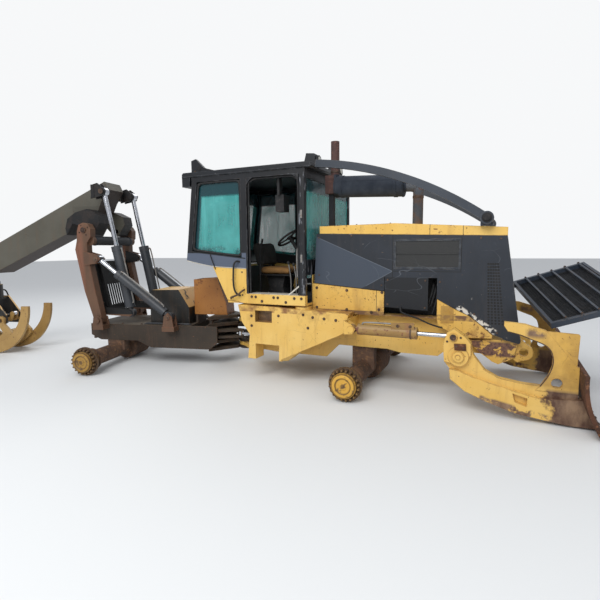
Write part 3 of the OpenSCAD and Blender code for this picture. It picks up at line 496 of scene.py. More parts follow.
painted = scatter.nodes.new("GeometryNodeSetMaterial")
for start, end in (
    (source.outputs["Stamp"], info.inputs["Object"]), (source.outputs["Points"], on_points.inputs["Points"]),
    (info.outputs["Geometry"], on_points.inputs["Instance"]), (source.outputs["Spin"], random_turn.inputs[3]),
    (random_turn.outputs[1], spin_axis.inputs["Z"]), (spin_axis.outputs[0], as_turn.inputs[0]),
    (as_turn.outputs[0], face_out.inputs["Rotation"]), (source.outputs["Facing"], face_out.inputs["Vector"]),
    (face_out.outputs[0], on_points.inputs["Rotation"]), (on_points.outputs[0], real.inputs[0]),
    (real.outputs[0], painted.inputs["Geometry"]), (source.outputs["Finish"], painted.inputs["Material"]),
    (painted.outputs[0], drain.inputs[0]),
):
    scatter.links.new(start, end)


def rows(name, body, stamp, spots, facing, finish=bolt_steel, spin=6.28, home=None):
    points = bpy.data.meshes.new(name)
    home = home or home_of(body)
    points.from_pydata([home @ Vector(p) for p in spots], [], [])
    piece = bpy.data.objects.new(name, points)
    bpy.context.scene.collection.objects.link(piece)
    modifier = piece.modifiers.new("rows", "NODES")
    modifier.node_group = scatter
    modifier[sockets["Stamp"].identifier] = stamp
    modifier[sockets["Facing"].identifier] = (home.to_3x3() @ Vector(facing))[:]
    modifier[sockets["Spin"].identifier] = spin
    modifier[sockets["Finish"].identifier] = finish
    bpy.context.view_layer.update()
    made = piece.evaluated_get(bpy.context.evaluated_depsgraph_get())
    mesh = bpy.data.meshes.new_from_object(made)
    mesh.name = name
    bpy.data.objects.remove(piece)
    return settle(name, body, mesh, finish)


CAB_FACE = 0.80
hex_bolt = stamp_of((0.0165, (0, 0.004), 18), (0.0115, (0.0041, 0.0125), 6))
small_bolt = stamp_of((0.0105, (0, 0.003), 14), (0.0075, (0.0031, 0.009), 6))
for side, word in SIDES:
    sill = [(x, side * CAB_FACE, 1.035) for x in (0.56, 0.615, 0.86, 0.915, 1.13, 1.22)]
    sill += [(x, side * CAB_FACE, 0.985) for x in (0.70, 1.02)]
    rows("sill_bolts_" + word, "front", hex_bolt, sill, (0, side, 0))
    boxes = [(0.55, 0.80), (0.55, 0.68), (0.92, 0.82), (1.24, 0.85)]
    boxes += [(x, 0.83 - (x - 1.3) * 0.06) for x in (1.36, 1.50, 1.64)] + [(1.30, 0.70)]
    low = [(x, side * CAB_FACE, z) for x, z in boxes]
    rows("side_box_bolts_" + word, "front", hex_bolt, low, (0, side, 0))
    slab("sill_plate_" + word, "front", rect(0.516, 1.0701, 1.183, 1.0741),
         side * 0.799, side * 0.61, pale_sill, bevel=0.001)
    drip = [(0.21, 0.988), (0.35, 0.970), (0.49, 0.953), (0.90, 0.953), (1.266, 0.953)]
    pipe("sill_weld_" + word, "front", [(x, side * 0.8005, z) for x, z in drip], 0.004, fairing_yellow, 6)
strip = [(1.045, 1.0743), (1.072, 1.0743), (1.188, 1.165), (1.188, 1.186)]
slab("leaning_strip", "front", strip, -0.796, -0.788, pale_sill, bevel=0.001)

# Cab shell: paint, window rubbers, trims, rear hose and handle
# The rear side window sits in a rounded rubber; the cab's near door is gone,
# so its opening shows the bare frame with its black trim.
def cab_base_marks(coat):
    plain_marks(coat)
    lining = coat.both(coat.between(coat.maths("ABSOLUTE", coat.at[1]), 0.758, 0.755),
                      coat.zone(x=(0.045, 1.262), z=(0.97, 1.5)))
    coat.lay(lining, (30, 30, 32))


def frame_marks(coat):
    trim = coat.both(coat.zone(x=(-0.42, 0.492), z=(1.36, 1.562), soft=0.006), coat.side(0.79, 0.81))
    coat.lay(trim, (92, 102, 120), 0.75)
    front_post = coat.zone(x=(1.18, 1.30), z=(1.07, 2.45), soft=0.01)
    # The front post's pale rubbed streaks are partly worn paint and partly a painted highlight.
    wear_and_highlight = coat.patch(20, 0.56, 0.64, stretch=(1, 1, 0.35), detail=6, shift=13)
    coat.lay(coat.both(front_post, wear_and_highlight), (112, 114, 120))


def dirty_pane(name, tint, grime, band, see_through, dirt):
    pane = Finish(name, 0.12, 0.0, "glass")
    runs = pane.patch(4, 0.35, 0.75, stretch=(3.0, 3.0, 0.25), detail=7, shift=2)
    smears = pane.patch(2.2, 0.4, 0.75, detail=6, shift=8)
    film = pane.either(runs, smears)
    rear_strip = pane.both(pane.line((-0.285, 1.507), (-0.178, 2.44), 0.05), pane.side(0.74, 0.80))
    mottled = pane.both(pane.zone(z=(1.40, 1.64), soft=0.03), pane.patch(9, 0.47, 0.58, shift=5))
    shade = pane.either(pane.zone(z=(2.26, 3.0), soft=0.015), rear_strip)
    shade = pane.either(shade, pane.both(mottled, 0.6))
    body = pane.cover(film, tint, grime)
    pane.colour(pane.cover(shade, body, band))
    cloud = pane.node("MapRange", Value=film, To_Min=see_through, To_Max=dirt).outputs[0]
    pane.put(pane.shader.inputs["Alpha"], pane.either(cloud, pane.both(shade, 0.93)))
    pane.rough(film, 0.08, 0.35)
    return pane.material


GREY_DUST = (104, 102, 96)
cab_yellow = worn_paint("cab_yellow", (222, 178, 82), (230, 194, 112), (92, 62, 44), (150, 104, 58),
                        chips=0.15, dust=0.2, marks=cab_base_marks)
cab_black = worn_paint("cab_black", (6, 8, 12), (16, 19, 25), (110, 112, 116), (80, 66, 58), wear=0.6,
                       chips=0.05, streaks=0.1, dust=0.12, dust_tone=GREY_DUST, slot="black_paint",
                       marks=frame_marks)
window_teal = dirty_pane("window_teal", (66, 160, 156), (92, 180, 176), (26, 62, 68), 0.50, 0.80)
coated(cab_yellow, "cab_base")
coated(cab_black, "cab_frame cab_door")
coated(window_teal, "cab_glass door_glass")


def rounded(outline, cut):
    path = []
    for k, here in enumerate(outline):
        here, before, after = Vector(here), Vector(outline[k - 1]), Vector(outline[(k + 1) % len(outline)])
        back, on = (before - here).normalized() * cut, (after - here).normalized() * cut
        path += [here + back, here + (back + on) * 0.26, here + on]
    return path


window = rounded([(-0.187, 2.424), (0.413, 2.424), (0.413, 1.525), (-0.297, 1.602)], 0.075)
for side, word in SIDES:
    edge = [(x, side * 0.782, z) for x, z in window]
    pipe("window_rubber_" + word, "front", edge, 0.0145, rubber, 8, closed=True)
    bead = [(-0.33, side * 0.801, 1.583), (0.05, side * 0.801, 1.543), (0.48, side * 0.801, 1.497)]
    pipe("trim_bead_" + word, "front", bead, 0.006, rubber, 6)
    foot = [(-0.395, side * 0.801, 1.466), (-0.03, side * 0.801, 1.40), (0.488, side * 0.801, 1.374)]
    pipe("trim_edge_" + word, "front", foot, 0.006, pale_sill, 6)
doorway = [(0.526, 1.076), (0.526, 1.7), (0.526, 2.33), (0.556, 2.40), (0.63, 2.428), (0.85, 2.428),
           (1.07, 2.428), (1.143, 2.40), (1.173, 2.33), (1.173, 1.7), (1.173, 1.076)]
pipe("doorway_seal", "front", [(x, -0.765, z) for x, z in doorway], 0.0125, rubber, 8)
for word, x, way in (("rear", 0.5135, 1), ("front", 1.1855, -1)):
    fillet = [(x, 2.4405)] + [(x + way * 0.11 * (1 - math.cos(a)), 2.4405 - 0.11 * (1 - math.sin(a)))
                              for a in [math.radians(15 * k) for k in range(7)]]
    slab("doorway_corner_" + word, "front", fillet, -0.797, -0.74, cab_black, bevel=0.001)
for z in (1.45, 1.95):
    slab(f"post_latch_{z * 100:.0f}", "front", rect(1.214, z, 1.238, z + 0.09), -0.806, -0.799, worn_steel)
handle = [(0.29, -0.801, 1.02), (0.29, -0.845, 1.02), (0.32, -0.856, 1.03), (0.40, -0.858, 1.06),
          (0.45, -0.852, 1.10), (0.46, -0.801, 1.12)]
pipe("rear_panel_handle", "front", handle, 0.011, bolt_steel, 10)
wire = [(-0.03, -0.8045, 1.55), (-0.01, -0.812, 1.50), (0.015, -0.812, 1.44), (0.045, -0.8045, 1.36)]
pipe("rear_panel_cable", "front", wire, 0.006, rubber, 8)
hose = [(0.40, -0.799, 1.455), (0.372, -0.832, 1.462), (0.344, -0.845, 1.42), (0.333, -0.843, 1.33),
        (0.327, -0.840, 1.22), (0.338, -0.838, 1.12), (0.372, -0.826, 1.06), (0.402, -0.799, 1.045)]
free_hose("rear_panel_hose", hose, 0.011)
spots = [(0.43, -CAB_FACE, 1.33), (0.43, -CAB_FACE, 1.05), (0.26, -CAB_FACE, 1.0)]
rows("rear_panel_bolts", "front", small_bolt, spots, (0, -1, 0))

# Roof: edge rail, seam, lamps and rear guards
# The roof is a dark slab with a rolled lower edge. Round lamps stand in their
# housings above its front corners.
roof_black = worn_paint("roof_black", (7, 10, 15), (16, 21, 28), (104, 108, 114), (70, 64, 60), chips=0.05,
                        streaks=0.1, dust=0.22, dust_tone=GREY_DUST, slot="black_paint")
guard_black = worn_paint("guard_black", (36, 43, 52), (52, 59, 69), (120, 122, 124), (80, 72, 66), chips=0.1,
                         streaks=0.2, dust=0.4, dust_tone=GREY_DUST, slot="black_paint")
coated(roof_black, "roof roof_fittings")
coated(guard_black, "limb_risers")
for side, word in SIDES:
    rail = [(x, side * 0.8105, 2.512) for x in (-0.415, 0.4, 1.335)]
    pipe("roof_rail_" + word, "front", rail, 0.009, roof_black, 8)
    lathe("lamp_rim_" + word, "front", [(0.058, -0.004), (0.060, 0.006), (0.052, 0.008), (0.050, 0.0)],
          (1.2798, side * 0.38, 2.6442), (0.9945, 0, 0.1045), rubber, 40)
    spots = [(x, side * 0.48, 2.60) for x in (1.14, 1.23)]
    rows("lamp_bolts_" + word, "front", small_bolt, spots, (0, side, 0))
    spots = [(-0.34, side * 0.64, 2.60), (-0.12, side * 0.64, 2.585)]
    rows("guard_bolts_" + word, "front", hex_bolt, spots, (0, side, 0))
    lathe("guard_hole_" + word, "front", [(0.030, 0.0), (0.032, 0.003), (0.024, 0.004), (0.0, 0.001)],
          (-0.278, side * 0.64, 2.642), (0, side, 0), rubber, 28)
lens_glass = Finish("lamp_lens", 0.15, 0.0, "glass")
ribs = lens_glass.grid(0.012, 0.25, (1, 2))
lens_glass.colour(lens_glass.cover(ribs, (214, 214, 204), (160, 160, 152)))
lens_glass.bump(ribs, 0.4, 0.003)
dome = [(0.049, 0.0), (0.047, 0.006), (0.036, 0.011), (0.018, 0.014), (0.001, 0.015)]
for side, word in SIDES:
    lathe("lamp_lens_" + word, "front", dome, (1.2800, side * 0.38, 2.6442), (0.9945, 0, 0.1045),
          lens_glass.material, 40)

# Cab inside: seat, levers and screen
# The seat's base cushion is worn ochre cloth and its back black vinyl, both
# stuffed; levers stand beside them, and a screen hangs from the header.
coated(rubber, "seat console")


def stuffed(name, outline, half_width, finish, cap=0.012):
    verts, faces = prism(outline, -half_width, half_width)
    mesh = bpy.data.meshes.new(name)
    mesh.from_pydata([FRONT @ Vector(v) for v in verts], [], faces)
    work = bmesh.new()
    work.from_mesh(mesh)
    bmesh.ops.recalc_face_normals(work, faces=work.faces)
    round_off = [e for e in work.edges if e.calc_face_angle(0) > 0.5]
    bmesh.ops.bevel(work, geom=round_off, offset=0.022, segments=3, profile=0.5, affect="EDGES",
                    clamp_overlap=True)
    work.to_mesh(mesh)
    work.free()
    pad = bpy.data.objects.new(name, mesh)
    bpy.context.scene.collection.objects.link(pad)
    grid = pad.modifiers.new("grid", "REMESH")
    grid.mode, grid.voxel_size = "VOXEL", 0.014
    bpy.context.view_layer.update()
    even = bpy.data.meshes.new_from_object(pad.evaluated_get(bpy.context.evaluated_depsgraph_get()))
    pad.modifiers.clear()
    pad.data = even
    rest = [v.co.copy() for v in even.vertices]
    cloth = pad.modifiers.new("swell", "CLOTH")
    cloth.settings.use_pressure = True
    cloth.settings.uniform_pressure_force = 4
    cloth.settings.effector_weights.gravity = 0
    cloth.point_cache.frame_start, cloth.point_cache.frame_end = 1, 20
    for step in range(1, 21):
        bpy.context.scene.frame_set(step)
    swollen = pad.evaluated_get(bpy.context.evaluated_depsgraph_get()).data
    for vertex, start, moved in zip(even.vertices, rest, swollen.vertices):
        travel = moved.co - start
        vertex.co = start + travel * min(1.0, cap / max(travel.length, 1e-6))
    pad.modifiers.clear()
    bpy.context.scene.frame_set(1)
    even.shade_smooth()
    even.materials.clear()
    even.materials.append(finish)
    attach(pad, "front")
    return pad


def seat_cloth(name, cloth, worn_tone, weave):
    fabric = Finish(name, 0.85, 0.0, "seat")
    tone = fabric.cover(fabric.patch(5, 0.42, 0.6, shift=3), cloth, worn_tone)
    threads = fabric.grid(0.004, 0.4, (0, 1))
    across = fabric.maths("ABSOLUTE", fabric.at[1])
    sewn = fabric.between(fabric.maths("ABSOLUTE", fabric.maths("SUBTRACT", across, 0.13)), 0.005, 0.002)
    woven = fabric.cover(fabric.both(threads, weave), tone, (70, 56, 36))
    fabric.colour(fabric.cover(sewn, woven, (26, 22, 18)))
    fabric.bump(fabric.maths("SUBTRACT", threads, fabric.both(sewn, 3.0)), 0.4, 0.003)
    return fabric.material


ochre = seat_cloth("ochre_cloth", (168, 122, 66), (120, 84, 48), 0.4)
vinyl = seat_cloth("black_vinyl", (34, 34, 36), (54, 52, 50), 0.15)
base = [(0.345, 1.288), (0.79, 1.284), (0.788, 1.352), (0.345, 1.362)]
cushion = stuffed("seat_cushion", base, 0.224, ochre)
back = [(0.285, 1.385), (0.385, 1.385), (0.372, 1.56), (0.338, 1.665), (0.292, 1.698), (0.24, 1.68),
        (0.232, 1.645)]
stuffed("seat_back", back, 0.216, vinyl)
slab("seat_pan", "front", rect(0.33, 1.256, 0.80, 1.272), -0.24, 0.24, rubber)
waisted = [(0.42, 0.9755), (0.70, 0.9755), (0.66, 1.10), (0.70, 1.256), (0.42, 1.256), (0.46, 1.10)]
slab("seat_base", "front", waisted, -0.17, 0.17, rubber, bevel=0.01)
arm = [(0.40, -0.30, 0.976), (0.40, -0.30, 1.50), (0.44, -0.30, 1.74)]
pipe("seat_lever_frame", "front", arm, 0.013, rubber)
for side, word in SIDES:
    slab("seat_back_strap_" + word, "front", rect(0.304, 1.258, 0.332, 1.44),
         side * 0.10, side * 0.15, worn_steel)
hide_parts("seat")
knob = [(0.006, -0.02), (0.016, -0.012), (0.020, 0.004), (0.016, 0.02), (0.004, 0.026)]
for k, (x, y, tall) in enumerate(((0.86, -0.33, 1.42), (0.92, -0.30, 1.40), (0.98, 0.30, 1.44))):
    pipe(f"lever_{k}", "front", [(x, y, 0.976), (x, y, 1.22), (x - 0.03, y, tall)], 0.008, worn_steel, 8)
    lathe(f"lever_knob_{k}", "front", knob, (x - 0.032, y, tall + 0.006), (-0.15, 0, 1), rubber, 20)
slab("screen_face", "front", rect(-0.688, 2.052, -0.572, 2.223), 0.8455, 0.8498, rubber, across="X")
slab("floor_mat", "front", rect(0.50, -0.58, 1.24, 0.58), 0.9752, 0.983, rubber, across="Z")
bar = [(1.20, -0.755, 1.25), (1.155, -0.735, 1.27), (1.135, -0.72, 1.33), (1.135, -0.72, 1.56),
       (1.155, -0.735, 1.61), (1.20, -0.755, 1.63)]
pipe("grab_bar", "front", bar, 0.011, worn_steel)

# Hood: panels, nose, bolts, perforated strip and engine air
# Rows of small bolts hold the hood's sheets; five columns of round holes
# let air out beside the radiator, behind the leaning front edge.
def nose_marks(coat):
    front_face = coat.zone(x=(3.04, 3.462), z=(0.50, 0.652), soft=0.012)
    peel = coat.patch(9, 0.455, 0.48, stretch=(1, 1, 1.2), detail=7, rough=0.62, shift=21)
    under = coat.cover(coat.patch(30, 0.4, 0.6, shift=3), (84, 58, 54), (128, 92, 72))
    coat.lay(coat.both(front_face, peel), under)


def lower_marks(coat):
    plain_marks(coat)
    coat.lay(coat.line((2.045, 0.87), (2.045, 1.2), 0.0035), (34, 30, 26))
    inset = coat.zone(x=(2.736, 2.862), z=(0.822, 1.0), soft=0.002)
    coat.lay(inset, (176, 136, 62))
    stain = coat.patch(4.5, 0.55, 0.68, stretch=(1, 1, 0.6), detail=8, rough=0.7, shift=31)
    coat.lay(stain, (150, 104, 52), 0.75)
    shelf = coat.both(coat.zone(z=(0.85, 0.905)), coat.patch(7, 0.36, 0.52, shift=5))
    coat.lay(shelf, (112, 82, 56))


def hood_cover_marks(coat):
    for x in (2.604, 2.930):
        coat.lay(coat.line((x, 1.70), (x, 1.9), 0.0035), (44, 36, 26))
    plain_marks(coat)


def hood_marks(coat):
    ridge, foot, tip = (1.342, 1.734), (1.924, 1.187), (2.219, 1.355)
    # Painted light: the triangle between the two creases is painted lighter, as the panel there tilts up to
    # the sky.
    lit = coat.both(coat.below(ridge, tip), coat.below(foot, tip, -0.004))
    lit = coat.both(lit, coat.zone(x=(1.2, 2.219)))
    coat.lay(lit, (62, 71, 84), 0.8)
    loose = coat.zone(x=(2.13, 2.602), z=(0.93, 1.289))
    coat.lay(loose, (8, 10, 16), 0.9)
    # Painted highlights: a pale line along each crease.
    for start, end in ((ridge, tip), (tip, foot)):
        coat.lay(coat.line(start, end, 0.004), (112, 120, 130), 0.5)
    for start, end in (((2.219, 1.745), (2.219, 1.15)), ((2.219, 1.356), (2.924, 1.356)),
                       ((2.92, 1.356), (2.92, 1.712))):
        coat.lay(coat.line(start, end, 0.0045), (10, 10, 12))
    outer = coat.zone(x=(2.234, 2.916), z=(1.384, 1.696), soft=0.002)
    inner = coat.zone(x=(2.256, 2.894), z=(1.406, 1.674), soft=0.002)
    rubbed = coat.patch(16, 0.40, 0.6, shift=4)
    ring = coat.both(coat.maths("SUBTRACT", outer, inner), rubbed)
    coat.lay(ring, (96, 100, 102), 0.35)
    coat.lay(inner, (16, 17, 19))
    coat.lay(coat.both(inner, coat.grid(0.011, 0.32)), (52, 52, 50))
    flake = coat.patch(22, 0.47, 0.50, detail=5, shift=15)
    edge = coat.both(coat.line((2.90, 0.995), (3.262, 0.752), 0.034), flake)
    coat.lay(edge, BONE)
    coat.lay(coat.scratches(3.2, 6.0, 0.006), (112, 118, 126), 0.35)


BONE = (208, 202, 190)
nose_yellow = worn_paint("nose_yellow", SUN, PALE, (84, 60, 54), (140, 96, 60), chips=0.6, marks=nose_marks)
lower_yellow = worn_paint("lower_yellow", SUN, PALE, (92, 62, 44), (140, 94, 52), chips=0.55, streaks=0.6,
                          marks=lower_marks)
cover_yellow = worn_paint("cover_yellow", (222, 176, 80), (234, 194, 106), (92, 62, 44), (140, 94, 52),
                          chips=0.4, dust=0.35, marks=hood_cover_marks)
charcoal = worn_paint("charcoal_panel", (22, 27, 35), (36, 42, 52), (104, 104, 102), (84, 72, 62), chips=0.05,
                      streaks=0.2, dust=0.4, dust_tone=GREY_DUST, slot="charcoal", marks=hood_marks)
engine_oily = rusty_steel("engine_oily", (26, 25, 25), (44, 41, 39), (60, 52, 44), 0.5, slot="engine")
coated(nose_yellow, "nose")
coated(lower_yellow, "lower_panels")
coated(cover_yellow, "hood_top")
coated(charcoal, "hood_sides")
coated(engine_oily, "engine")
coated(cab_black, "radiator")
HOOD_FACE = 0.599
hole = stamp_of((0.0112, (0, 0.0008), 12))
lug = [(0.045, 0.0), (0.047, 0.008), (0.030, 0.012), (0.030, 0.026), (0.0, 0.028)]
for side, word in SIDES:
    y = side * HOOD_FACE
    spots = []
    for r in range(21):
        z = 1.440 - r * 0.0298
        low = 3.176 + (1.446 - z) * (0.023 / 0.621)
        wide = 0.086 + (1.446 - z) * (0.047 / 0.621)
        spots += [(low + wide * c / 4, y, z) for c in range(5)]
    rows("air_holes_" + word, "front", hole, spots, (0, side, 0), rubber, spin=0.0)
    edge = [(1.36, 1.73), (1.36, 1.30), (1.75, 1.745), (2.10, 1.735), (2.10, 1.20), (3.28, 1.69),
            (3.10, 1.70), (2.72, 1.25)]
    edge += [(2.17, 1.26), (2.57, 1.26), (2.17, 0.99), (2.57, 0.97), (3.28, 0.75), (3.06, 0.93)]
    rows("hood_bolts_" + word, "front", small_bolt, [(x, y, z) for x, z in edge], (0, side, 0))
    lower = [(2.107, 1.12), (2.074, 0.925), (1.989, 0.892), (1.33, 1.15), (1.33, 0.92), (1.70, 1.13),
             (1.70, 0.91)]
    rows("lower_panel_bolts_" + word, "front", hex_bolt, [(x, y, z) for x, z in lower], (0, side, 0))
    slab("screen_brace_" + word, "front", rect(2.256, 1.535, 2.894, 1.545),
         side * 0.5955, side * 0.602, charcoal, bevel=0.001)
    lathe("lug_cap_" + word, "front", lug, (3.15, side * 0.725, 1.89), (0, side, 0), rubber, 24)
drape = [(2.315, -0.597, 0.972), (2.318, -0.622, 0.945), (2.345, -0.628, 0.908), (2.506, -0.625, 0.854),
         (2.64, -0.620, 0.800), (2.75, -0.595, 0.768), (2.80, -0.545, 0.755), (2.815, -0.468, 0.752)]
free_hose("panel_cable", drape, 0.0085)
for k, (x, z) in enumerate(((2.62, 1.22), (2.66, 1.10), (2.64, 1.18))):
    run = [(x, -0.335, z), (x + 0.01, -0.42, z + 0.03), (x + 0.02, -0.50, z - 0.04),
           (x - 0.02, -0.52, z - 0.2)]
    pipe(f"engine_line_{k}", "front", run, 0.012, rubber, 8)
top = [(x, y, z) for x, z in ((1.45, 1.8608), (1.80, 1.8649), (2.18, 1.8692)) for y in (-0.56, 0.56)]
rows("hood_top_bolts", "front", small_bolt, top, (0, 0, 1))

# Grille door: wire mesh behind its bars
# The door has fallen forward on its hinge. Its crossed wires lie just over a
# dark screen, under the bars.
grille_grey = worn_paint("grille_grey", (46, 55, 68), (66, 75, 87), (112, 110, 106), (104, 84, 68), chips=0.2,
                         streaks=0.25, dust=0.2, dust_tone=GREY_DUST, slot="charcoal")
dark_wire = rusty_steel("dark_wire", (20, 23, 28), (34, 38, 44), (52, 50, 50), 0.6, slot="charcoal")
coated(grille_grey, "grille_door")
GRILLE = FRONT @ Matrix.Translation((3.4, 0.59, 1.15)) @ Matrix.Rotation(math.radians(17), 4, "Z")
GRILLE = GRILLE @ Matrix.Rotation(math.radians(16), 4, "X") @ Matrix.Rotation(math.radians(-18), 4, "Y")
verts, faces = [], []
wires = [((0.06, -1.15 + 0.028 * k), (0.80, -1.15 + 0.028 * k)) for k in range(1, 40)]
wires += [((0.06 + 0.028 * k, -1.15), (0.06 + 0.028 * k, -0.03)) for k in range(1, 26)]
for (x0, y0), (x1, y1) in wires:
    level = -0.0195 if x0 == x1 else -0.0165
    run = Vector((x1 - x0, y1 - y0, 0)).normalized().cross(Vector((0, 0, 1))) * 0.0022
    first = len(verts)
    for x, y in ((x0, y0), (x1, y1)):
        for a, b in ((-1, 0), (-1, 0.003), (1, 0.003), (1, 0)):
            verts.append((x + a * run[0], y + a * run[1], level + b))
    faces += [(first, first + 1, first + 2, first + 3), (first + 7, first + 6, first + 5, first + 4)]
    faces += [(first + k, first + 4 + k, first + 4 + (k + 1) % 4, first + (k + 1) % 4) for k in range(4)]
shell("grille_wires", "grille_door", verts, faces, dark_wire, home=GRILLE)
slab("grille_screen", "grille_door", rect(0.0605, -1.1495, 0.7995, -0.0305), -0.0199, -0.0193, rubber,
     across="Z", bevel=0.0, home=GRILLE)
spots = [(0.177 + 0.147 * k, y, 0.045) for k in range(5) for y in (-1.16, -0.02)]
rows("grille_bolts", "grille_door", small_bolt, spots, (0, 0, 1), home=GRILLE)

# Exhaust: rims, clamps, rolled seam and open mouth
# Rims close the muffler's ends, a seam runs along it, and band clamps hold
# the riser and the stack, whose mouth is dark.
def exhaust_marks(steel):
    drum = steel.zone(x=(1.47, 2.31), y=(-0.47, -0.19), z=(2.14, 2.47))
    blue = steel.cover(steel.patch(6, 0.35, 0.65, shift=2), (34, 42, 54), (56, 62, 72))
    steel.lay(drum, blue)
    outlet = steel.zone(x=(2.31, 2.44), z=(2.2, 2.40))
    steel.lay(outlet, (86, 90, 96))
    strap = steel.zone(x=(1.34, 1.52), z=(1.80, 2.245))
    steel.lay(strap, (20, 22, 26))
    riser = steel.zone(x=(2.36, 2.50), z=(1.85, 2.24), soft=0.02)
    grey = steel.cover(steel.patch(8, 0.42, 0.58, shift=7), (74, 78, 84), (98, 78, 66))
    steel.lay(riser, grey)


exhaust_rust = rusty_steel("exhaust_rust", (70, 50, 46), (92, 64, 58), (116, 78, 66), marks=exhaust_marks)
coated(exhaust_rust, "exhaust")
DRUM = FRONT @ Matrix.Translation((1.48, -0.33, 2.33)) @ Matrix.Rotation(math.radians(92.5), 4, "Y")
for k, h in enumerate((0.004, 0.784)):
    lathe(f"muffler_rim_{k}", "front", band(0.1222, 0.1262, -0.006, 0.012), (0, 0, h), (0, 0, 1),
          exhaust_rust, 48, home=DRUM)
seam = [(-0.05, -0.1115, along) for along in (0.05, 0.4, 0.76)]
pipe("muffler_seam", "front", seam, 0.003, exhaust_rust, 6, home=DRUM)
lathe("stack_mouth", "front", [(0.043, 0.0), (0.044, 0.0006), (0.0, 0.0008)], (1.46, -0.33, 2.8500),
      (0, 0, 1), rubber, 40)
for name, hoop, x, z in (("riser", band(0.0562, 0.0602, -0.014, 0.014), 2.43, 2.16),
                         ("stack", band(0.0502, 0.0545, -0.012, 0.012), 1.46, 2.50)):
    lathe(name + "_clamp", "front", hoop, (x, -0.33, z), (0, 0, 1), bolt_steel, 40)

# Lift cylinders, arm pivots and blade
# Steel lines run along each barrel to its gland; capped pins hold the arms,
# and cutting-edge bolts run along the blade's foot.
def arm_marks(coat):
    plain_marks(coat)
    wander = coat.both(coat.noise(3.5, detail=7, shift=17), 0.55)
    scraped = coat.between(coat.maths("ADD", coat.at[0], wander), 3.98, 4.02)
    scraped = coat.both(scraped, coat.between(coat.at[2], 0.335, 0.30))
    sole = coat.both(coat.line((3.15, 0.165), (3.90, 0.01), 0.05), coat.patch(9, 0.44, 0.52, shift=8))
    grimy = coat.both(coat.zone(x=(3.56, 4.2), z=(0.33, 0.95), soft=0.03), coat.patch(3.4, 0.3, 0.6, shift=5))
    coat.lay(grimy, (150, 112, 54), 0.75)
    smudge = coat.both(coat.zone(x=(3.53, 3.68), z=(0.79, 0.86), soft=0.02), coat.patch(12, 0.4, 0.5))
    bare = coat.cover(coat.patch(7, 0.4, 0.62, stretch=(1, 1, 0.5), shift=27), (86, 58, 44), (146, 118, 92))
    coat.lay(coat.either(coat.either(scraped, sole), smudge), bare)


def plated_rod(name):
    rod = Finish(name, 0.16, 1.0, "chrome")
    film = rod.patch(14, 0.45, 0.75, stretch=(1, 1, 3), detail=7, shift=1)
    rod.colour(rod.cover(film, (205, 208, 214), (150, 148, 146)))
    rod.rough(film, 0.14, 0.4)
    return rod.material


arm_yellow = worn_paint("arm_yellow", SUN, PALE, (92, 62, 44), (150, 104, 58), dust=0.2, wear=0.7,
                        marks=arm_marks)
lift_yellow = worn_paint("lift_yellow", (140, 108, 58), (168, 134, 78), (104, 70, 56), (134, 84, 62),
                         chips=0.85, streaks=0.8, dust=0.3)
blade_rust = rusty_steel("blade_rust", (62, 36, 21), (94, 57, 35), (124, 82, 54), slot="blade_rust")
chrome = plated_rod("chrome_rod")
coated(arm_yellow, "blade_arms")
coated(blade_rust, "moldboard")
coated(lift_yellow, "lift_barrels")
coated(chrome, "lift_rods")


def aligned(start, end, y, half=FRONT):
    slope = math.atan2(end[1] - start[1], end[0] - start[0])
    return half @ Matrix.Translation((start[0], y, start[1])) @ Matrix.Rotation(-slope, 4, "Y")


for side, word in SIDES:
    line = aligned((1.86, 0.75), (2.9, 0.745), side * 0.9)
    feed = [(0.12, side * 0.02, 0.060), (0.16, side * 0.02, 0.080), (0.40, side * 0.02, 0.084),
            (0.62, side * 0.02, 0.080), (0.655, side * 0.01, 0.060)]
    pipe("lift_line_" + word, "lift_barrels", feed, 0.009, worn_steel, home=line)
    plate = [(0.43, 0.030), (0.665, 0.030), (0.665, 0.108), (0.43, 0.098)]
    slab("lift_cover_" + word, "lift_barrels", plate, side * 0.035, side * 0.047, lift_yellow, home=line)
    spots = [(0.50, side * 0.047, 0.070), (0.625, side * 0.047, 0.072)]
    rows("lift_cover_bolts_" + word, "lift_barrels", hex_bolt, spots, (0, side, 0), home=line)
    lathe("gland_ring_" + word, "lift_barrels", band(0.0622, 0.0655, 0.0, 0.018), (0.62, 0, 0), (1, 0, 0),
          bolt_steel, 40, home=line)
    lathe("lift_pin_cap_" + word, "blade", capped(0.030, 0.010, 0.014, 0.020), (2.9, side * 0.967, 0.745),
          (0, side, 0), bolt_steel, 28)
    spots = [(2.845, side * 0.955, 0.70), (2.968, side * 0.955, 0.745)]
    rows("lift_eye_bolts_" + word, "blade", small_bolt, spots, (0, side, 0))
    y = side * 0.972
    plate = [(2.909, 0.684), (3.017, 0.688), (3.022, 0.622), (2.916, 0.622)]
    slab("pin_cover_" + word, "blade", plate, side * 0.954, side * 0.972, blade_rust)
    rows("pin_cover_bolts_" + word, "blade", small_bolt, [(2.932, y, 0.662), (2.998, y, 0.648)], (0, side, 0))
    lathe("arm_pin_cap_" + word, "front", capped(0.050, 0.007, 0.022, 0.018), (2.95, side * 0.980, 0.56),
          (0, side, 0), arm_yellow, 36)
    beam = [(2.946, 0.421), (3.112, 0.362), (3.466, 0.274), (3.634, 0.236)]
    pipe("beam_weld_" + word, "blade", [(x, side * 0.9155, z + 0.001) for x, z in beam], 0.005, yellow, 6)
    rim = [(3.376, 0.828), (3.481, 0.803), (3.574, 0.767), (3.666, 0.733), (3.722, 0.686), (3.747, 0.616),
           (3.747, 0.543), (3.716, 0.445), (3.658, 0.343)]
    pipe("gusset_rim_" + word, "blade", [(x + 0.002, side * 0.9195, z) for x, z in rim], 0.005, bolt_steel, 6)
edge_bolts = [(4.1142, -1.12 + 0.16 * k, 0.075) for k in range(15)]
rows("cutting_edge_bolts", "blade", hex_bolt, edge_bolts, (0.847, 0, 0.531))

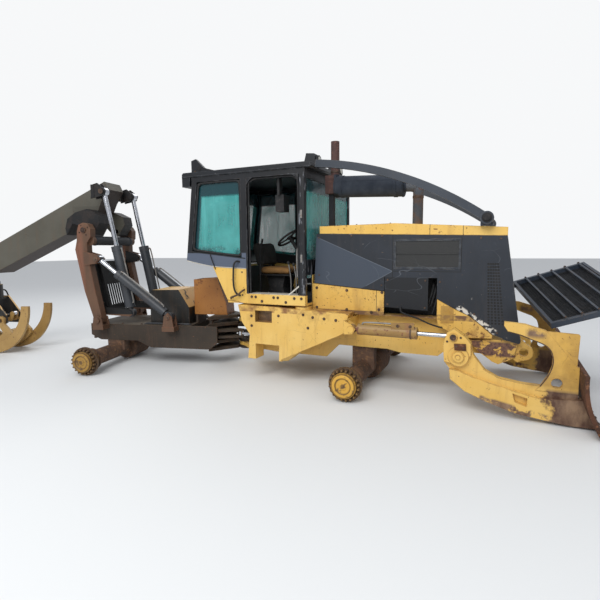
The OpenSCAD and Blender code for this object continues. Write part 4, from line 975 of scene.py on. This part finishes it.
# Axles and hubs: wheel nuts and cap covers
# Each flange has its ring of nuts round the studs, and a dished cover with a
# raised rim closes the planetary cap.
def hub_marks(coat):
    cap = coat.both(coat.side(1.150, 1.3), coat.patch(16, 0.62, 0.54, detail=7, shift=3))
    coat.lay(coat.both(cap, coat.either(coat.between(coat.at[0], -0.1, 0.1), 0.45)), (208, 160, 62))
    along = coat.maths("SUBTRACT", coat.maths("ABSOLUTE", coat.at[0]), HALF_BASE)
    up = coat.maths("SUBTRACT", coat.at[2], HUB_Z)
    radius = coat.maths("SQRT", coat.maths("ADD", coat.both(along, along), coat.both(up, up)))
    dirt = coat.both(coat.between(radius, 0.068, 0.082), coat.between(radius, 0.094, 0.086))
    dirt = coat.either(dirt, coat.between(radius, 0.030, 0.018))
    dirt = coat.either(dirt, coat.between(radius, 0.117, 0.124))
    dirt = coat.both(dirt, coat.side(1.1575, 1.3))
    coat.lay(dirt, (82, 60, 38), 0.8)
    flange = coat.side(1.060, 1.0955)
    coat.lay(flange, (78, 60, 44), 0.75)


HALF_BASE, HUB_Z, STUD_RING = 1.85, 0.184, 0.158
axle_rust = rusty_steel("axle_rust", (66, 50, 42), (104, 78, 60), (132, 96, 66))
hub_front = worn_paint("hub_front", (150, 116, 58), (112, 86, 52), (74, 56, 44), (96, 66, 44), chips=0.8,
                       wear=0.8, dust=0.4, dust_tone=(110, 96, 78), slot="hub", marks=hub_marks)
hub_rear = worn_paint("hub_rear", (112, 86, 46), (92, 70, 44), (74, 56, 44), (96, 66, 44), chips=0.9,
                      wear=0.8, dust=0.4, dust_tone=(110, 96, 78), slot="hub", turn=TURN, marks=hub_marks)
coated(axle_rust, "front_axle rear_axle")
coated(hub_front, "hub_front_near hub_front_far")
coated(hub_rear, "hub_rear_near hub_rear_far")
dish = [(0.121, -0.002), (0.121, 0.006), (0.114, 0.010), (0.088, 0.010), (0.080, 0.002), (0.042, 0.001),
        (0.036, 0.008), (0.018, 0.009)]
nut = stamp_of((0.0195, (0, 0.003), 20), (0.018, (0.0031, 0.019), 6))
for label, x, paint in (("front", HALF_BASE, hub_front), ("rear", -HALF_BASE, hub_rear)):
    for side, word in SIDES:
        ring = []
        for k in range(20):
            a = math.radians(18 * k + (9 if side < 0 else 0))
            ring.append((x + STUD_RING * math.cos(a), side * 1.094, HUB_Z + STUD_RING * math.sin(a)))
        hub = f"hub_{label}_{word}"
        rows(f"wheel_nuts_{label}_{word}", hub, nut, ring, (0, side, 0), spin=0.5)
        lathe(f"cap_cover_{label}_{word}", hub, dish, (x, side * 1.166, HUB_Z), (0, side, 0), paint, 48)

# Rear frame, deck and valve box
# The valve bank stands in its open box with a row of spools and hoses, and
# lines run along the deck to the arch.
def deck_marks(coat):
    # Partly painted light: only the deck's upward faces get tan and ochre, in patches, and its other faces
    # stay black as painted shade.
    top = coat.between(coat.facing_up(), 0.3, 0.5)
    patch = coat.cover(coat.zone(x=(-1.37, -1.23)), (206, 166, 104), (196, 150, 52))
    lit_top_patches = coat.patch(7, 0.36, 0.44, shift=3)
    coat.lay(coat.both(top, lit_top_patches), patch)


def valve_marks(coat):
    # Painted shade: the inside of the open box is darkened.
    painted_shade_well = coat.zone(x=(-0.716, -0.34), y=(-0.139, 0.139), z=(0.99, 1.16))
    coat.lay(painted_shade_well, (40, 32, 28))


frame_brown = worn_paint("frame_brown", (46, 38, 30), (66, 54, 42), (88, 62, 46), (104, 72, 52), chips=0.4,
                         wear=0.5, dust=0.3, roughness=0.7, slot="arch_rust", turn=TURN)
deck_black = worn_paint("deck_black", (20, 20, 19), (34, 33, 30), (84, 70, 58), (92, 70, 52), chips=0.3,
                        dust=0.2, slot="black_paint", turn=TURN, marks=deck_marks)
# Painted shade: the valve box is a darker ochre than the machine's yellow, as that yellow looks in the shade
# of the hitch.
valve_ochre_in_shade = worn_paint("valve_ochre_in_shade", (146, 92, 34), (172, 116, 52), (96, 62, 40), (130, 80, 44),
                          chips=0.6, streaks=0.7, slot="orange", turn=TURN, marks=valve_marks)
barrel_black = worn_paint("barrel_black", (42, 46, 52), (62, 65, 69), (96, 88, 80), (88, 68, 54), chips=0.2,
                          dust=0.3, dust_tone=GREY_DUST, slot="barrel")
coated(frame_brown, "rear_frame rear_hitch")
coated(deck_black, "deck_cover")
coated(valve_ochre_in_shade, "valve_box")
coated(barrel_black, "steer_barrel_near steer_barrel_far")
coated(chrome, "steer_rod_near steer_rod_far")
for k in range(4):
    x = -0.69 + 0.075 * k
    slab(f"valve_spool_{k}", "rear", rect(x, 1.0002, x + 0.055, 1.075), -0.09, 0.09, engine_oily, bevel=0.006)
    feed = [(x + 0.027, 0.04, 1.074), (x + 0.027, 0.045, 1.115), (x + 0.024, 0.075, 1.13),
            (x + 0.020, 0.112, 1.09), (x + 0.020, 0.115, 1.001)]
    pipe(f"valve_line_{k}", "rear", feed, 0.011, rubber, 8)
spots = [(x, -0.15, z) for x in (-0.70, -0.39) for z in (0.74, 1.05)]
rows("valve_box_bolts", "rear", small_bolt, spots, (0, -1, 0), valve_ochre_in_shade)
for k, y in enumerate((-0.36, -0.33, 0.33, 0.36)):
    feed = [(-0.73, y * 0.9, 0.562), (-0.78, y, 0.571), (-1.05, y, 0.572), (-1.36, y, 0.571),
            (-1.42, y, 0.555)]
    pipe(f"deck_line_{k}", "rear", feed, 0.011, barrel_black, 8)
spots = [(x, y, 0.56) for x in (-0.85, -1.45, -1.75) for y in (-0.385, 0.385)]
rows("deck_bolts", "rear", hex_bolt, spots, (0, 0, 1))

# Arch and boom: pin caps, seams, lines and window ribs
# Pins end in caps on their bosses, weld seams run up the columns, steel lines
# feed the cylinders, and thin ribs stand in the window of the arch's plate.
def arch_marks(coat):
    inside = coat.both(coat.side(-1.0, 0.438), coat.zone(z=(0.70, 1.70)))
    coat.lay(inside, (14, 14, 14))
    tube = coat.both(coat.side(-1.0, 0.44), coat.zone(z=(1.66, 1.83)))
    coat.lay(tube, (36, 38, 43))
    back_edge = coat.between(coat.at[0], -2.165, -2.215)
    streak = coat.patch(5, 0.30, 0.5, stretch=(1, 1, 0.5), shift=4)
    rusty = coat.both(coat.both(back_edge, streak), coat.side(0.44, 0.56))
    coat.lay(rusty, (124, 80, 60), 0.8)


def boom_marks(coat):
    # Painted shade: faces turned downwards are darkened to brown.
    coat.lay(coat.between(coat.facing_up(), -0.15, -0.4), (50, 38, 32))
    ears = coat.both(coat.side(0.20, 0.5), coat.zone(x=(-2.14, -1.8), z=(2.3, 2.6)))
    bracket = coat.both(coat.side(0.192, 0.5), coat.zone(x=(-2.6, -1.99), z=(1.7, 2.25)))
    dark = coat.cover(coat.patch(9, 0.45, 0.6, shift=3), (9, 9, 11), (34, 26, 22))
    coat.lay(coat.either(ears, bracket), dark)


arch_brown = worn_paint("arch_brown", (80, 57, 42), (104, 75, 54), (112, 72, 54), (126, 82, 60), chips=0.35,
                        wear=0.7, dust=0.25, roughness=0.65, slot="arch_rust", turn=TURN, marks=arch_marks)
boom_grey = worn_paint("boom_grey", (74, 71, 61), (90, 87, 77), (70, 52, 42), (98, 74, 54), chips=0.25,
                       dust=0.35, roughness=0.6, slot="boom_paint", turn=TURN, marks=boom_marks)
coated(arch_brown, "arch_mounts arch")
coated(boom_grey, "boom")
coated(deck_black, "boom_link")
coated(barrel_black, "arch_barrels boom_barrels")
coated(chrome, "arch_rods boom_rods")
for side, word in SIDES:
    y = side * 0.5552
    lathe("boom_pin_cap_" + word, "arch", capped(0.036, 0.006, 0.016, 0.016), (-2.16, side * 0.567, 1.89),
          (0, side, 0), bolt_steel)
    crown = [(-2.16 + 0.075 * math.cos(a), y, 1.89 + 0.075 * math.sin(a)) for a in (0.5, 2.1, 3.6, 5.2)]
    rows("column_bolts_" + word, "arch", small_bolt, crown, (0, side, 0))
    seam = [(-2.03, 0.98), (-2.108, 1.38), (-2.137, 1.56), (-2.137, 1.71)]
    pipe("column_seam_" + word, "arch", [(x, y, z) for x, z in seam], 0.004, arch_brown, 6)
    back = [(-2.195, 1.06), (-2.297, 1.62), (-2.268, 1.74)]
    pipe("column_back_seam_" + word, "arch", [(x + 0.03, y, z) for x, z in back], 0.004, arch_brown, 6)
    lathe("column_band_" + word, "arch", band(0.066, 0.070, -0.012, 0.012), (-2.11, side * 0.40, 1.745),
          (0, 1, 0), arch_brown, 40)
    stretch = aligned((-0.95, 0.70), (-1.99, 1.49), side * 0.5, REAR)
    feed = [(0.14, side * 0.03, -0.064), (0.18, side * 0.03, -0.084), (0.55, side * 0.03, -0.086),
            (0.88, side * 0.03, -0.082), (0.915, side * 0.02, -0.062)]
    pipe("arch_line_" + word, "arch_barrels", feed, 0.010, worn_steel, home=stretch)
    lift = aligned((-1.62, 0.72), (-1.95, 2.425), side * 0.35, REAR)
    feed = [(0.14, side * 0.03, -0.070), (0.18, side * 0.03, -0.090), (0.55, side * 0.03, -0.092),
            (0.88, side * 0.03, -0.090), (0.915, side * 0.02, -0.070)]
    pipe("boom_cylinder_line_" + word, "boom_barrels", feed, 0.010, worn_steel, home=lift)
for k in range(9):
    y = -0.22 + 0.055 * k
    rib = [(-2.078, 0.795), (-2.056, 0.795), (-2.117, 1.115), (-2.139, 1.115)]
    slab(f"window_rib_{k}", "arch", rib, y - 0.007, y + 0.007, arch_brown, bevel=0.002)
spots = [(-2.172 + (1.45 - z) * 0.1958, y, z) for z in (0.86, 1.30) for y in (-0.37, 0.37)]
rows("arch_plate_bolts", "arch", hex_bolt, spots, (0.981, 0, 0.192))
for body, x, z, y in (("arch", -1.99, 1.49, 0.573), ("rear", -0.95, 0.70, 0.573),
                      ("boom", -1.95, 2.425, 0.423)):
    for side, word in SIDES:
        lathe(f"{body}_pin_cap_{word}", body, capped(0.034, 0.007, 0.014, 0.016), (x, side * y, z),
              (0, side, 0), bolt_steel, 28)

# Grapple: pin nuts and rotator fittings
# Nuts close the tong pins, hoses run down from the rotator, and bolts hold
# the head's side plates.
grapple_tan = worn_paint("grapple_tan", (150, 116, 62), (176, 142, 84), (92, 64, 46), (126, 86, 54),
                         chips=0.5, slot="tan")
coated(deck_black, "grapple_head")
coated(grapple_tan, "tong_rear tong_front")
coated(barrel_black, "tong_barrel")
coated(chrome, "tong_rod")
GRAPPLE = REAR @ Matrix.Translation((-4.3, 0, 0))
tong_nut = [(0.028, 0.0), (0.029, 0.008), (0.016, 0.009), (0.016, 0.018), (0.0, 0.019)]
for side, word in SIDES:
    for end, x, y in (("rear", -0.28, 0.2602), ("front", 0.28, 0.2152)):
        lathe(f"tong_pin_nut_{end}_{word}", "tong_" + end, tong_nut, (x, side * y, 0.52), (0, side, 0),
              bolt_steel, 24, home=GRAPPLE)
    drop = [(0.05, 0.118, 0.98), (0.06, 0.155, 0.96), (0.09, 0.165, 0.88), (0.10, 0.162, 0.80),
            (0.10, 0.161, 0.72)]
    drop = [(side * x, side * y, z) for x, y, z in drop]
    pipe("rotator_hose_" + word, "grapple_head", drop, 0.012, rubber, 8, home=GRAPPLE)
    spots = [(x, side * 0.16, 0.80) for x in (-0.07, 0.07)]
    rows("head_bolts_" + word, "grapple_head", hex_bolt, spots, (0, side, 0), home=GRAPPLE)
for stamp in (hex_bolt, small_bolt, hole, nut):
    bpy.data.objects.remove(stamp)
